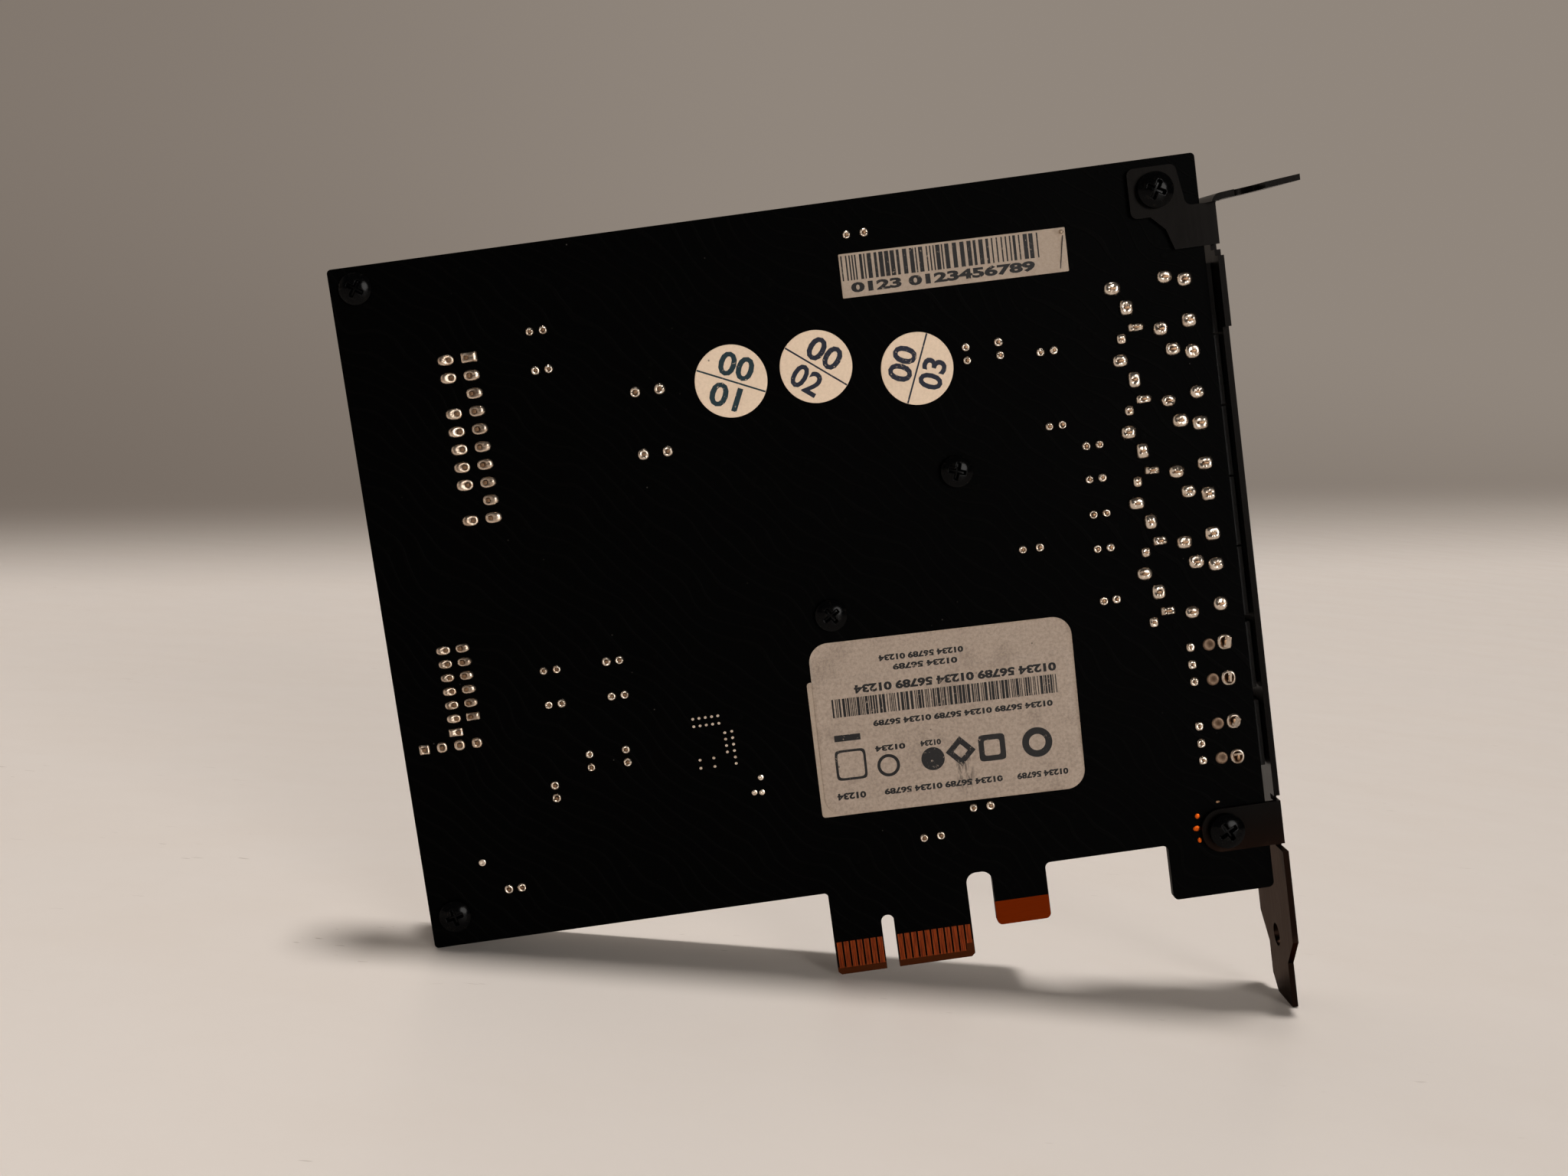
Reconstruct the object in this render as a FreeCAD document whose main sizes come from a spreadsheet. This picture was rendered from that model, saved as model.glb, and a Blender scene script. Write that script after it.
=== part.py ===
import FreeCAD, Part
import math
import os
import re
import Sketcher

# A full-height sound card for a one-lane expansion slot, standing as it does in its slot.
# X runs along the card towards the bracket, Y from the solder side to the component side, Z up.
# The origin is the middle of the key notch, on the card's contact edge, half-way through the board.

SIZES = {
    # Board
    "board_left": -65.9,
    "board_right": 57.0,
    "board_top": 111.15,
    "board_bottom": 12.55,
    "board_thick": 1.57,
    "board_corner": 0.6,
    "finger_left": -8.15,
    "finger_right": 12.15,
    "finger_corner": 0.5,
    "bevel_height": 1.1,
    "bevel_depth": 0.4,
    "key_width": 1.9,
    "key_top": 8.1,
    "tab_bottom": 4.25,
    "tab_corner": 0.8,
    "hook_left": 15.95,
    "hook_right": 23.9,
    "slot_round": 1.5,
    "foot_left": 42.1,
    # Edge contacts
    "contact_pitch": 1.0,
    "contact_width": 0.7,
    "contact_top": 5.0,
    "contact_short": 1.1,
    "contact_thick": 0.05,
    "key_to_contact": 1.5,
    # Bracket, one folded sheet
    "sheet": 0.86,
    "bracket_face": 59.05,
    "bracket_top": 104.92,
    "bracket_height": 120.02,
    "bracket_width": 18.42,
    "bracket_overhang": 2.54,
    "bend_radius": 0.5,
    "tongue_width": 10.19,
    "tongue_inset": 4.4,
    "shoulder_level": -3.9,
    "tongue_tip_cut": 2.4,
    "tongue_hole": 3.5,
    "tongue_hole_rise": 9.8,
    "tab_length": 11.8,
    "tab_rise": 1.2,
    "tab_slot_width": 4.42,
    "tab_slot_reach": 4.6,
    "tab_slot_depth": 5.6,
    "lug_bottom": 86.4,
    "lug_height": 10.0,
    "relief": 0.8,
    "relief_depth": 2.2,
    "low_ear_bottom": 10.7,
    "ear_width": 6.4,
    "ear_end": 47.2,
    "ear_round": 2.9,
    "high_ear_bottom": 98.05,
    "high_ear_base": 5.9,
    "high_ear_rise": 6.0,
    "ear_fillet": 1.0,
    # Bracket fasteners
    "screw_x": 50.7,
    "bracket_screw_head": 5.2,
    "bracket_screw_head_height": 1.7,
    "bracket_nut_across": 5.5,
    "bracket_nut_height": 2.4,
    # Shield over the digital half of the component side
    "shield_height": 12.9,
    "shield_sheet": 0.6,
    "shield_inset": 0.5,
    "shield_foot": 0.9,
    "shield_right": 23.0,
    "shield_right_high": 18.4,
    "shield_step": 82.0,
    "shield_corner": 1.4,
    "notch_bottom": 40.2,
    "notch_step": 64.0,
    "notch_top": 99.4,
    "notch_low_depth": 18.9,
    "notch_high_depth": 23.4,
    "vent_width": 1.8,
    "vent_length": 14.0,
    "vent_pitch": 4.2,
    "vent_left": -30.0,
    "vent_bottom": 84.0,
    "standoff_across": 3.6,
    "shield_screw_head": 4.7,
    "shield_screw_head_height": 1.5,
    "corner_screw_inset": 3.7,
    "corner_screw_drop": 3.1,
    "corner_screw_rise": 4.5,
    "mid_screw_x": 18.2,
    "mid_screw_z": 71.2,
    "inner_screw_x": -2.3,
    "inner_screw_z": 53.15,
    # Audio jacks
    "jack_top": 90.6,
    "jack_pitch": 10.245,
    "jack_gap": 0.3,
    "jack_back": 42.4,
    "jack_height": 11.0,
    "jack_axis": 5.6,
    "jack_bore": 3.6,
    "jack_depth": 14.0,
    "jack_chamfer": 0.8,
    "jack_lip": 1.0,
    "jack_nose": 6.0,
    "panel_gap": 0.2,
    "terminal_thick": 0.4,
    "terminal_width": 2.2,
    "terminal_height": 8.6,
    "terminal_gap": 0.05,
    # Optical sockets
    "optical_back": 47.0,
    "optical_width": 9.7,
    "optical_height": 10.2,
    "optical_axis": 5.3,
    "optical_pitch": 11.7,
    "optical_gap": 0.95,
    "optical_nose": 8.6,
    "optical_lip": 0.5,
    "optical_cavity": 6.2,
    "optical_depth": 8.0,
    "optical_corner": 1.1,
    "optical_lens": 2.6,
    "optical_module": 6.0,
    "optical_module_depth": 3.0,
    "optical_clearance": 0.1,
    "optical_pin": 0.5,
    "optical_pin_x": 48.65,
    "optical_tab_x": 53.7,
    "optical_tab_spread": 5.3,
    # Pin headers
    "pin_pitch": 2.54,
    "pin_square": 0.64,
    "pin_height": 8.4,
    "fine_pin_pitch": 2.0,
    "fine_pin_square": 0.5,
    "fine_pin_height": 6.4,
    "panel_header_inset": 16.23,
    "panel_header_top": 96.5,
    "digital_header_inset": 9.27,
    "digital_header_top": 55.7,
    "digital_header_margin": 0.6,
    "aux_header_inset": 3.02,
    "aux_header_level": 41.8,
    "aux_header_width": 2.3,
    # Radial capacitors
    "small_can": 4.0,
    "small_can_height": 7.0,
    "small_can_leads": 1.9,
    "medium_can": 6.3,
    "medium_can_height": 11.0,
    "medium_can_leads": 2.5,
    "large_can": 8.0,
    "large_can_height": 11.5,
    "large_can_leads": 3.5,
    # Solder joints
    "joint_height": 1.0,
    "joint_waist": 0.42,
    "can_joint": 1.35,
    "large_can_joint": 1.7,
    "pin_joint": 1.6,
    "pin_joint_long": 2.4,
    "fine_joint": 1.3,
    "fine_joint_long": 2.1,
    "jack_joint": 2.2,
    # Labels
    "label_thick": 0.1,
    "label_round": 2.8,
    "data_label_width": 38.1,
    "data_label_height": 25.4,
    "data_label_x": 12.5,
    "data_label_z": 36.1,
    "data_label_turn": -1.3,
    "under_label_height": 20.0,
    "under_label_shift": 0.7,
    "under_label_drop": 2.6,
    "under_label_turn": -0.8,
    "strip_label_width": 32.2,
    "strip_label_height": 6.2,
    "strip_label_x": 21.5,
    "strip_label_z": 100.4,
    "strip_label_turn": -0.8,
    "sticker": 10.3,
    # Chips
    "processor_size": 14.0,
    "processor_height": 1.4,
    "memory_length": 22.2,
    "memory_width": 10.2,
    "memory_height": 1.1,
    "converter_size": 7.0,
    "converter_height": 0.9,
    "amp_length": 4.9,
    "amp_width": 3.9,
    "amp_height": 1.6,
    "regulator_size": 6.4,
    "regulator_height": 2.3,
    "crystal_length": 11.0,
    "crystal_width": 4.6,
    "crystal_height": 3.5,
    "chip_length": 1.6,
    "chip_width": 0.8,
    "chip_height": 0.5,
}

JACKS = 5
OPTICALS = 2
PANEL_ROWS = 10
DIGITAL_ROWS = 7
AUX_PINS = 4
CONTACTS_BEFORE_KEY = 11
CONTACTS_AFTER_KEY = 7
VENTS = 10
STICKER_SIDES = 24
SMALL_ROUND_SIDES = 18

# Places on the board, X and Z from the key, with the way that the two leads lie.
SMALL_CANS = [
    (-38.1, 98.9, "across"), (-38.1, 93.4, "across"), (21.7, 87.5, "up"), (26.4, 87.6, "up"),
    (33.1, 86.3, "across"), (33.1, 75.7, "across"), (38.0, 72.2, "across"), (37.9, 67.4, "across"),
    (37.9, 62.3, "across"), (37.9, 57.3, "across"), (37.9, 49.7, "across"), (-43.3, 50.8, "across"),
    (-43.3, 45.8, "across"), (-34.2, 50.9, "across"), (-34.2, 45.8, "across"), (-39.5, 36.9, "up"),
    (-34.2, 36.9, "up"), (-45.1, 33.1, "up"), (-53.0, 19.8, "across"),
]
MEDIUM_CANS = [
    (8.2, 106.3, "across"), (27.5, 58.7, "across"), (8.1, 18.8, "across"), (15.8, 22.2, "across"),
]
LARGE_CANS = [(-23.8, 88.5, "across"), (-23.9, 79.6, "across")]
CANS = {"small": SMALL_CANS, "medium": MEDIUM_CANS, "large": LARGE_CANS}
STICKERS = [(-11.9, 88.2), (0.3, 88.6), (14.5, 86.4)]
AMPLIFIERS = [(27.6, 79.2), (30.2, 50.6), (30.2, 43.4), (30.2, 36.2), (36.0, 92.6)]
REGULATORS = [(28.0, 24.0), (38.0, 24.0)]
# Joints of one jack: X on the board, and Z from the jack's own axis.
JACK_JOINTS = [
    (43.3, 3.2), (45.0, 0.3), (46.0, -2.6), (43.8, -4.0),
    (49.5, -3.3), (50.9, 3.9), (53.7, 3.2), (53.7, -2.6),
]

doc = FreeCAD.newDocument("sound_card")
dims = doc.addObject("Spreadsheet::Sheet", "dims")
for row, (name, size) in enumerate(SIZES.items(), start=1):
    dims.set(f"A{row}", name)
    dims.set(f"B{row}", str(size))
    dims.setAlias(f"B{row}", name)
doc.recompute()
nodes = []


def cells(expression):
    """The expression with every named size written as its cell on the sheet."""
    def cell(word):
        return "dims." + word.group(0) if word.group(0) in SIZES else word.group(0)
    return re.sub(r"[a-z][a-z0-9_]*", cell, str(expression))


def num(expression):
    """The present value of an expression of named sizes."""
    return float(dims.evalExpression(cells(expression)))


def new_body(label):
    """An empty body that becomes one named piece of the card."""
    body = doc.addObject("PartDesign::Body", label)
    body.Label = label
    nodes.append(body)
    return body


def sketch_on(body, role, level="0"):
    """A sketch on one of the body's own planes, moved to a level along +X, +Y or +Z."""
    plane = next(item for item in body.Origin.OriginFeatures if item.Role == role)
    sketch = body.newObject("Sketcher::SketchObject", body.Name + "_sketch")
    sketch.AttachmentSupport = [(plane, "")]
    sketch.MapMode = "FlatFace"
    sign = "-1" if role == "XZ_Plane" else "1"
    sketch.setExpression("AttachmentOffset.Base.z", f"{sign} * ({cells(level)})")
    return sketch


def hold(sketch, kind, line, point, expression):
    """Ties one coordinate of a point to an expression, measured from the sketch's origin."""
    index = sketch.addConstraint(Sketcher.Constraint(kind, -1, 1, line, point, num(expression)))
    sketch.setExpression(f"Constraints[{index}]", cells(expression))


def draw(sketch, corners):
    """A closed outline of straight lines, each corner a pair of expressions."""
    points = [FreeCAD.Vector(num(across), num(up), 0) for across, up in corners]
    first = sketch.GeometryCount
    for here, there in zip(points, points[1:] + points[:1]):
        sketch.addGeometry(Part.LineSegment(here, there), False)
    for step, (across, up) in enumerate(corners):
        line = first + step
        after = first + (step + 1) % len(corners)
        sketch.addConstraint(Sketcher.Constraint("Coincident", line, 2, after, 1))
        hold(sketch, "DistanceX", line, 1, across)
        hold(sketch, "DistanceY", line, 1, up)


def draw_box(sketch, left, bottom, right, top):
    """A rectangle given by its four sides."""
    draw(sketch, [(left, bottom), (right, bottom), (right, top), (left, top)])


def draw_ring(sketch, across, up, diameter):
    """A circle given by its centre and diameter."""
    centre = FreeCAD.Vector(num(across), num(up), 0)
    circle = sketch.addGeometry(Part.Circle(centre, FreeCAD.Vector(0, 0, 1), num(diameter) / 2), False)
    hold(sketch, "DistanceX", circle, 3, across)
    hold(sketch, "DistanceY", circle, 3, up)
    index = sketch.addConstraint(Sketcher.Constraint("Diameter", circle, num(diameter)))
    sketch.setExpression(f"Constraints[{index}]", cells(diameter))


def draw_many_sided(sketch, across, up, diameter, sides):
    """A regular outline with few sides, for small round pieces that repeat."""
    turns = [2 * math.pi * step / sides for step in range(sides)]
    draw(sketch, [(f"{across} + {math.cos(turn):.5f} * {diameter} / 2",
                   f"{up} + {math.sin(turn):.5f} * {diameter} / 2") for turn in turns])


def pad(body, sketch, length):
    """Adds the sketch's outline to the body, from its level along +X, +Y or +Z."""
    feature = body.newObject("PartDesign::Pad", body.Name + "_pad")
    feature.Profile = sketch
    feature.Reversed = sketch.AttachmentSupport[0][0].Role == "XZ_Plane"
    feature.setExpression("Length", cells(length))
    doc.recompute()
    return feature


def cut(body, sketch, length=None):
    """Takes the outline out of the body: along +X, +Y or +Z by a length, or right through."""
    before = body.Shape.Volume
    feature = body.newObject("PartDesign::Pocket", body.Name + "_cut")
    feature.Profile = sketch
    if length is None:
        feature.SideType = "Symmetric"
        feature.Type = "ThroughAll"
    else:
        feature.Reversed = sketch.AttachmentSupport[0][0].Role != "XZ_Plane"
        feature.setExpression("Length", cells(length))
    doc.recompute()
    if body.Shape.Volume > before - 1e-6:
        raise RuntimeError(f"{feature.Name} takes nothing out of {body.Label}")
    return feature


def runs_along(axis, *places):
    """A test for straight edges along one axis that pass through one of the places."""
    others = [other for other in "xyz" if other != axis]
    targets = [tuple(num(value) for value in place) for place in places]

    def wanted(edge):
        ends = [vertex.Point for vertex in edge.Vertexes]
        if len(ends) != 2 or abs(getattr(ends[0], axis) - getattr(ends[1], axis)) < 1e-6:
            return False
        spots = [tuple(getattr(end, other) for other in others) for end in ends]
        return any(all(math.dist(spot, target) < 1e-4 for spot in spots) for target in targets)
    return wanted


def soften(body, kind, size_name, size, wanted):
    """Rounds or chamfers the edges that pass the test."""
    base = body.Tip
    names = [f"Edge{index}" for index, edge in enumerate(base.Shape.Edges, start=1) if wanted(edge)]
    feature = body.newObject("PartDesign::" + kind, body.Name + "_" + kind.lower())
    feature.Base = (base, names)
    feature.setExpression(size_name, cells(size))
    doc.recompute()
    return feature


def round_off(body, radius, wanted):
    return soften(body, "Fillet", "Radius", radius, wanted)


def bevel(body, size, wanted):
    return soften(body, "Chamfer", "Size", size, wanted)


def repeat(body, feature, sketch, direction, count, pitch):
    """A row of copies of one feature along the sketch's own axis."""
    row = body.newObject("PartDesign::LinearPattern", body.Name + "_row")
    row.Originals = [feature]
    row.Direction = (sketch, [direction])
    row.setExpression("Length", f"{cells(pitch)} * {count - 1}")
    row.Occurrences = count
    body.Tip = row
    doc.recompute()
    return row


def group(label, solids):
    """A node of several separate solids of one kind."""
    feature = doc.addObject("Part::Feature", label)
    feature.Label = label
    feature.Shape = Part.makeCompound(solids)
    nodes.append(feature)
    return feature


def block(left, near, bottom, right, far, top):
    """A plain block between two corners, in numbers."""
    corner = FreeCAD.Vector(left, near, bottom)
    return Part.makeBox(right - left, far - near, top - bottom, corner)


# Levels that many pieces share, as expressions
SOLDER_FACE = "-board_thick / 2"
PART_FACE = "board_thick / 2"
EAR_NEAR = "-board_thick / 2 - sheet"
PLATE_NEAR = "-board_thick / 2 - bracket_overhang"
PLATE_FAR = "-board_thick / 2 - bracket_overhang + bracket_width"
PLATE_BACK = "bracket_face - sheet"
BRACKET_BOTTOM = "bracket_top - bracket_height"
HIGH_EAR_TOP = "high_ear_bottom + high_ear_base"
LOW_SCREW = ("screw_x", "low_ear_bottom + ear_width / 2")
HIGH_SCREW = ("screw_x", "high_ear_bottom + high_ear_base + ear_width / 2 - ear_fillet / 2")
SHIELD_SCREWS = [
    ("board_left + corner_screw_inset", "board_top - corner_screw_drop"),
    ("board_left + corner_screw_inset", "board_bottom + corner_screw_rise"),
    ("mid_screw_x", "mid_screw_z"),
    ("inner_screw_x", "inner_screw_z"),
]
PANEL_BACK = "bracket_face - sheet - panel_gap"
JACK_LEVEL = "board_thick / 2 + jack_axis"
OPTICAL_LEVEL = "board_thick / 2 + optical_axis"


def jack_centre(index):
    return f"(jack_top - {index} * jack_pitch)"


def optical_centre(index):
    first = f"{jack_centre(JACKS - 1)} - jack_pitch / 2 - optical_gap - optical_width / 2"
    return f"({first} - {index} * optical_pitch)"


def make_board():
    """The laminate: outline, key notch and bevelled contact edge."""
    body = new_body("circuit_board")
    outline = sketch_on(body, "XZ_Plane", SOLDER_FACE)
    draw(outline, [
        ("board_left", "board_bottom"), ("finger_left", "board_bottom"), ("finger_left", "0"),
        ("finger_right", "0"), ("finger_right", "board_bottom"), ("hook_left", "board_bottom"),
        ("hook_left", "tab_bottom"), ("hook_right", "tab_bottom"), ("hook_right", "board_bottom"),
        ("foot_left", "board_bottom"), ("foot_left", "tab_bottom"), ("board_right", "tab_bottom"),
        ("board_right", "board_top"), ("board_left", "board_top"),
    ])
    pad(body, outline, "board_thick")
    round_off(body, "tab_corner", runs_along(
        "y", ("hook_left", "tab_bottom"), ("hook_right", "tab_bottom"), ("foot_left", "tab_bottom"),
        ("board_right", "tab_bottom"), ("hook_right", "board_bottom"), ("foot_left", "board_bottom")))
    round_off(body, "slot_round", runs_along(
        "y", ("finger_right", "board_bottom"), ("hook_left", "board_bottom")))
    round_off(body, "board_corner", runs_along(
        "y", ("board_left", "board_bottom"), ("board_left", "board_top"), ("board_right", "board_top"),
        ("finger_left", "board_bottom")))
    bevel(body, "finger_corner", runs_along("y", ("finger_left", "0"), ("finger_right", "0")))
    key = sketch_on(body, "XZ_Plane")
    draw_box(key, "-key_width / 2", "-bevel_height", "key_width / 2", "key_top - key_width / 2")
    cut(body, key)
    key_end = sketch_on(body, "XZ_Plane")
    draw_ring(key_end, "0", "key_top - key_width / 2", "key_width")
    cut(body, key_end)
    edge = sketch_on(body, "YZ_Plane")
    for side in ("", "-"):
        draw(edge, [
            (f"{side}(board_thick / 2)", "bevel_height"),
            (f"{side}(board_thick / 2 - bevel_depth)", "0"),
            (f"{side}(board_thick / 2)", "0"),
        ])
    cut(body, edge)


def make_contacts(label, level, short_contact):
    """Gold-plated contacts on one side; the presence contact stops short of the edge."""
    body = new_body(label)
    first = {True: "key_to_contact", False: "-key_to_contact"}
    total = {True: CONTACTS_BEFORE_KEY, False: CONTACTS_AFTER_KEY}
    for bracket_side in (True, False):
        sign = 1 if bracket_side else -1
        full = [step for step in range(total[bracket_side]) if (bracket_side, step) != short_contact]
        runs = [full]
        if len(full) < total[bracket_side]:
            gap = short_contact[1]
            runs = [[step for step in full if step < gap], [step for step in full if step > gap]]
        runs = [run for run in runs if run]
        for run in runs:
            row_of_contacts(body, level, f"{first[bracket_side]} + {sign * run[0]} * contact_pitch",
                            "bevel_height", sign, len(run))
    bracket_side, step = short_contact
    sign = 1 if bracket_side else -1
    row_of_contacts(body, level, f"{first[bracket_side]} + {sign * step} * contact_pitch",
                    "bevel_height + contact_short", sign, 1)


def row_of_contacts(body, level, centre, bottom, sign, count):
    """One contact, and its copies at the contact pitch."""
    sketch = sketch_on(body, "XZ_Plane", level)
    draw_box(sketch, f"{centre} - contact_width / 2", bottom,
             f"{centre} + contact_width / 2", "contact_top")
    feature = pad(body, sketch, "contact_thick")
    if count > 1:
        row = repeat(body, feature, sketch, "H_Axis", count, "contact_pitch")
        row.Reversed = sign < 0
        doc.recompute()


def make_bracket():
    """One folded sheet: plate, top tab, tongue, and two ears that lie on the solder face."""
    body = new_body("bracket")
    profile = sketch_on(body, "XZ_Plane", PLATE_NEAR)
    tip = "bracket_face + tab_length"
    draw(profile, [
        (PLATE_BACK, BRACKET_BOTTOM), ("bracket_face", BRACKET_BOTTOM),
        ("bracket_face", "bracket_top - sheet"), (tip, "bracket_top - sheet + tab_rise"),
        (tip, "bracket_top + tab_rise"), (PLATE_BACK, "bracket_top"),
    ])
    pad(body, profile, "bracket_width")
    round_off(body, "bend_radius", runs_along("y", ("bracket_face", "bracket_top - sheet")))
    round_off(body, "bend_radius + sheet", runs_along("y", (PLATE_BACK, "bracket_top")))

    # The plate narrows to the tongue, and steps back beside the board
    front = sketch_on(body, "YZ_Plane", "bracket_face - 2 * sheet")
    tongue_near = f"{PLATE_NEAR} + tongue_inset"
    tongue_far = f"{PLATE_NEAR} + tongue_inset + tongue_width"
    below = f"{BRACKET_BOTTOM} - sheet"
    draw(front, [
        (f"{PLATE_NEAR} - sheet", "shoulder_level"), (PLATE_NEAR, "shoulder_level"),
        (tongue_near, "shoulder_level - tongue_inset"), (tongue_near, below),
        (f"{PLATE_NEAR} - sheet", below),
    ])
    far_step = "(bracket_width - tongue_inset - tongue_width)"
    draw(front, [
        (f"{PLATE_FAR} + sheet", "shoulder_level"), (PLATE_FAR, "shoulder_level"),
        (tongue_far, f"shoulder_level - {far_step}"), (tongue_far, f"{BRACKET_BOTTOM} + tongue_tip_cut"),
        (f"{tongue_far} - tongue_tip_cut", BRACKET_BOTTOM), (f"{tongue_far} - tongue_tip_cut", below),
        (f"{PLATE_FAR} + sheet", below),
    ])
    for bottom, top in (("low_ear_bottom - relief", "lug_bottom"),
                        ("lug_bottom + lug_height", f"{HIGH_EAR_TOP}")):
        draw_box(front, f"{PLATE_NEAR} - sheet", bottom, EAR_NEAR, top)
    cut(body, front, "4 * sheet")

    # Openings for the sockets, and the hole in the tongue
    windows = sketch_on(body, "YZ_Plane", "bracket_face - 2 * sheet")
    for index in range(JACKS):
        draw_ring(windows, JACK_LEVEL, jack_centre(index), "jack_nose + 2 * panel_gap")
    half = "(optical_nose / 2 + panel_gap)"
    for index in range(OPTICALS):
        middle = optical_centre(index)
        draw_box(windows, f"{OPTICAL_LEVEL} - {half}", f"{middle} - {half}",
                 f"{OPTICAL_LEVEL} + {half}", f"{middle} + {half}")
    draw_ring(windows, f"{tongue_near} + tongue_width / 2", f"{BRACKET_BOTTOM} + tongue_hole_rise",
              "tongue_hole")
    cut(body, windows, "4 * sheet")

    # The screw slot in the tab is open to the solder side
    slot = sketch_on(body, "XY_Plane", "bracket_top - 2 * sheet")
    slot_middle = "bracket_face + tab_slot_reach"
    draw_box(slot, f"{slot_middle} - tab_slot_width / 2", f"{PLATE_NEAR} - sheet",
             f"{slot_middle} + tab_slot_width / 2", f"{PLATE_NEAR} + tab_slot_depth - tab_slot_width / 2")
    cut(body, slot, "4 * sheet + tab_rise")
    slot_end = sketch_on(body, "XY_Plane", "bracket_top - 2 * sheet")
    draw_ring(slot_end, slot_middle, f"{PLATE_NEAR} + tab_slot_depth - tab_slot_width / 2",
              "tab_slot_width")
    cut(body, slot_end, "4 * sheet + tab_rise")

    # Ears, with a relief cut beside each fold
    low_top = "low_ear_bottom + ear_width"
    ears = sketch_on(body, "XZ_Plane", EAR_NEAR)
    draw_box(ears, "ear_end", "low_ear_bottom", "bracket_face", low_top)
    neck = "screw_x + ear_width / 2 + ear_fillet"
    high_end_top = f"{HIGH_EAR_TOP} + high_ear_rise"
    draw(ears, [
        ("bracket_face", "high_ear_bottom"), ("bracket_face", HIGH_EAR_TOP), (neck, HIGH_EAR_TOP),
        ("screw_x + ear_width / 2", high_end_top),
        ("screw_x - ear_width / 2 - ear_fillet / 2", high_end_top),
        ("screw_x - ear_width / 2 - ear_fillet / 2", f"{HIGH_EAR_TOP} - ear_fillet"),
        ("screw_x - ear_fillet", f"{HIGH_EAR_TOP} - ear_fillet"),
        ("screw_x + ear_fillet", "high_ear_bottom + high_ear_base / 2"),
        ("screw_x + 2 * ear_fillet", "high_ear_bottom"),
    ])
    pad(body, ears, "sheet")
    reliefs = sketch_on(body, "YZ_Plane", "bracket_face - 2 * sheet")
    deep = f"{EAR_NEAR} + relief_depth"
    for bottom in ("low_ear_bottom - relief", low_top, "high_ear_bottom - relief"):
        draw_box(reliefs, f"{PLATE_NEAR} - sheet", bottom, deep, f"{bottom} + relief")
    cut(body, reliefs, "4 * sheet")
    round_off(body, "ear_round", runs_along("y", ("ear_end", "low_ear_bottom"), ("ear_end", low_top)))
    round_off(body, "ear_fillet", runs_along(
        "y", ("screw_x + ear_width / 2", high_end_top),
        ("screw_x - ear_width / 2 - ear_fillet / 2", high_end_top),
        ("screw_x - ear_width / 2 - ear_fillet / 2", f"{HIGH_EAR_TOP} - ear_fillet"),
        (neck, HIGH_EAR_TOP)))


def make_screw_heads(label, places, seat, head, head_height):
    """Heads of the screws, seated from the solder side."""
    body = new_body(label)
    heads = sketch_on(body, "XZ_Plane", f"{seat} - {head_height}")
    for x, z in places:
        draw_many_sided(heads, x, z, head, SMALL_ROUND_SIDES)
    pad(body, heads, head_height)


def hexagons(label, places, across, height):
    """Hexagon pieces that stand on the component face, two flats level."""
    solids = []
    radius = num(across) / math.sqrt(3)
    for x, z in places:
        centre = FreeCAD.Vector(num(x), num(PART_FACE), num(z))
        corners = [
            centre + FreeCAD.Vector(radius * math.cos(turn), 0, radius * math.sin(turn))
            for turn in (math.radians(60 * step) for step in range(6))
        ]
        face = Part.Face(Part.makePolygon(corners + corners[:1]))
        solids.append(face.extrude(FreeCAD.Vector(0, num(height), 0)))
    group(label, solids)


def shield_outline(inset):
    """The shield's outline, drawn in by an inset: stepped on the right, cut back round the headers."""
    left = f"board_left + shield_inset + {inset}"
    bottom = f"board_bottom + shield_foot + {inset}"
    top = f"board_top - shield_inset - {inset}"
    low_notch = f"board_left + notch_low_depth + {inset}"
    high_notch = f"board_left + notch_high_depth + {inset}"
    return [
        (left, bottom), (f"shield_right - {inset}", bottom),
        (f"shield_right - {inset}", f"shield_step - {inset}"),
        (f"shield_right_high - {inset}", f"shield_step - {inset}"), (f"shield_right_high - {inset}", top),
        (left, top), (left, f"notch_top + {inset}"), (high_notch, f"notch_top + {inset}"),
        (high_notch, f"notch_step - {inset}"), (low_notch, f"notch_step - {inset}"),
        (low_notch, f"notch_bottom - {inset}"), (left, f"notch_bottom - {inset}"),
    ]


def make_shield():
    """The folded shield: roof and walls of one sheet, cut corners, and a row of vents."""
    body = new_body("shield_cover")
    outside = sketch_on(body, "XZ_Plane", PART_FACE)
    draw(outside, shield_outline("0"))
    pad(body, outside, "shield_height")
    bevel(body, "shield_corner", runs_along("y", *shield_outline("0")))
    roof = num(f"{PART_FACE} + shield_height")

    def on_roof(edge):
        box = edge.BoundBox
        return abs(box.YMin - roof) < 1e-6 and abs(box.YMax - roof) < 1e-6
    bevel(body, "shield_sheet", on_roof)
    inside = sketch_on(body, "XZ_Plane", PART_FACE)
    draw(inside, shield_outline("shield_sheet"))
    cut(body, inside, "shield_height - shield_sheet")
    vent = sketch_on(body, "XZ_Plane", PART_FACE)
    draw_box(vent, "vent_left", "vent_bottom", "vent_left + vent_width", "vent_bottom + vent_length")
    feature = cut(body, vent, "shield_height")
    repeat(body, feature, vent, "H_Axis", VENTS, "vent_pitch")


def terminal_places(index):
    """Where the four spring terminals of one jack stand: X, Z and the side of the jack they are on."""
    side = "((jack_pitch - jack_gap) / 2 - terminal_thick - terminal_gap)"
    middle = jack_centre(index)
    return [
        ("jack_back + 1.5 * terminal_width", f"{middle} + {side}"),
        ("jack_back + 4.5 * terminal_width", f"{middle} + {side}"),
        ("jack_back + 1.5 * terminal_width", f"{middle} - {side} - terminal_thick"),
        ("jack_back + 4.5 * terminal_width", f"{middle} - {side} - terminal_thick"),
    ]


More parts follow.
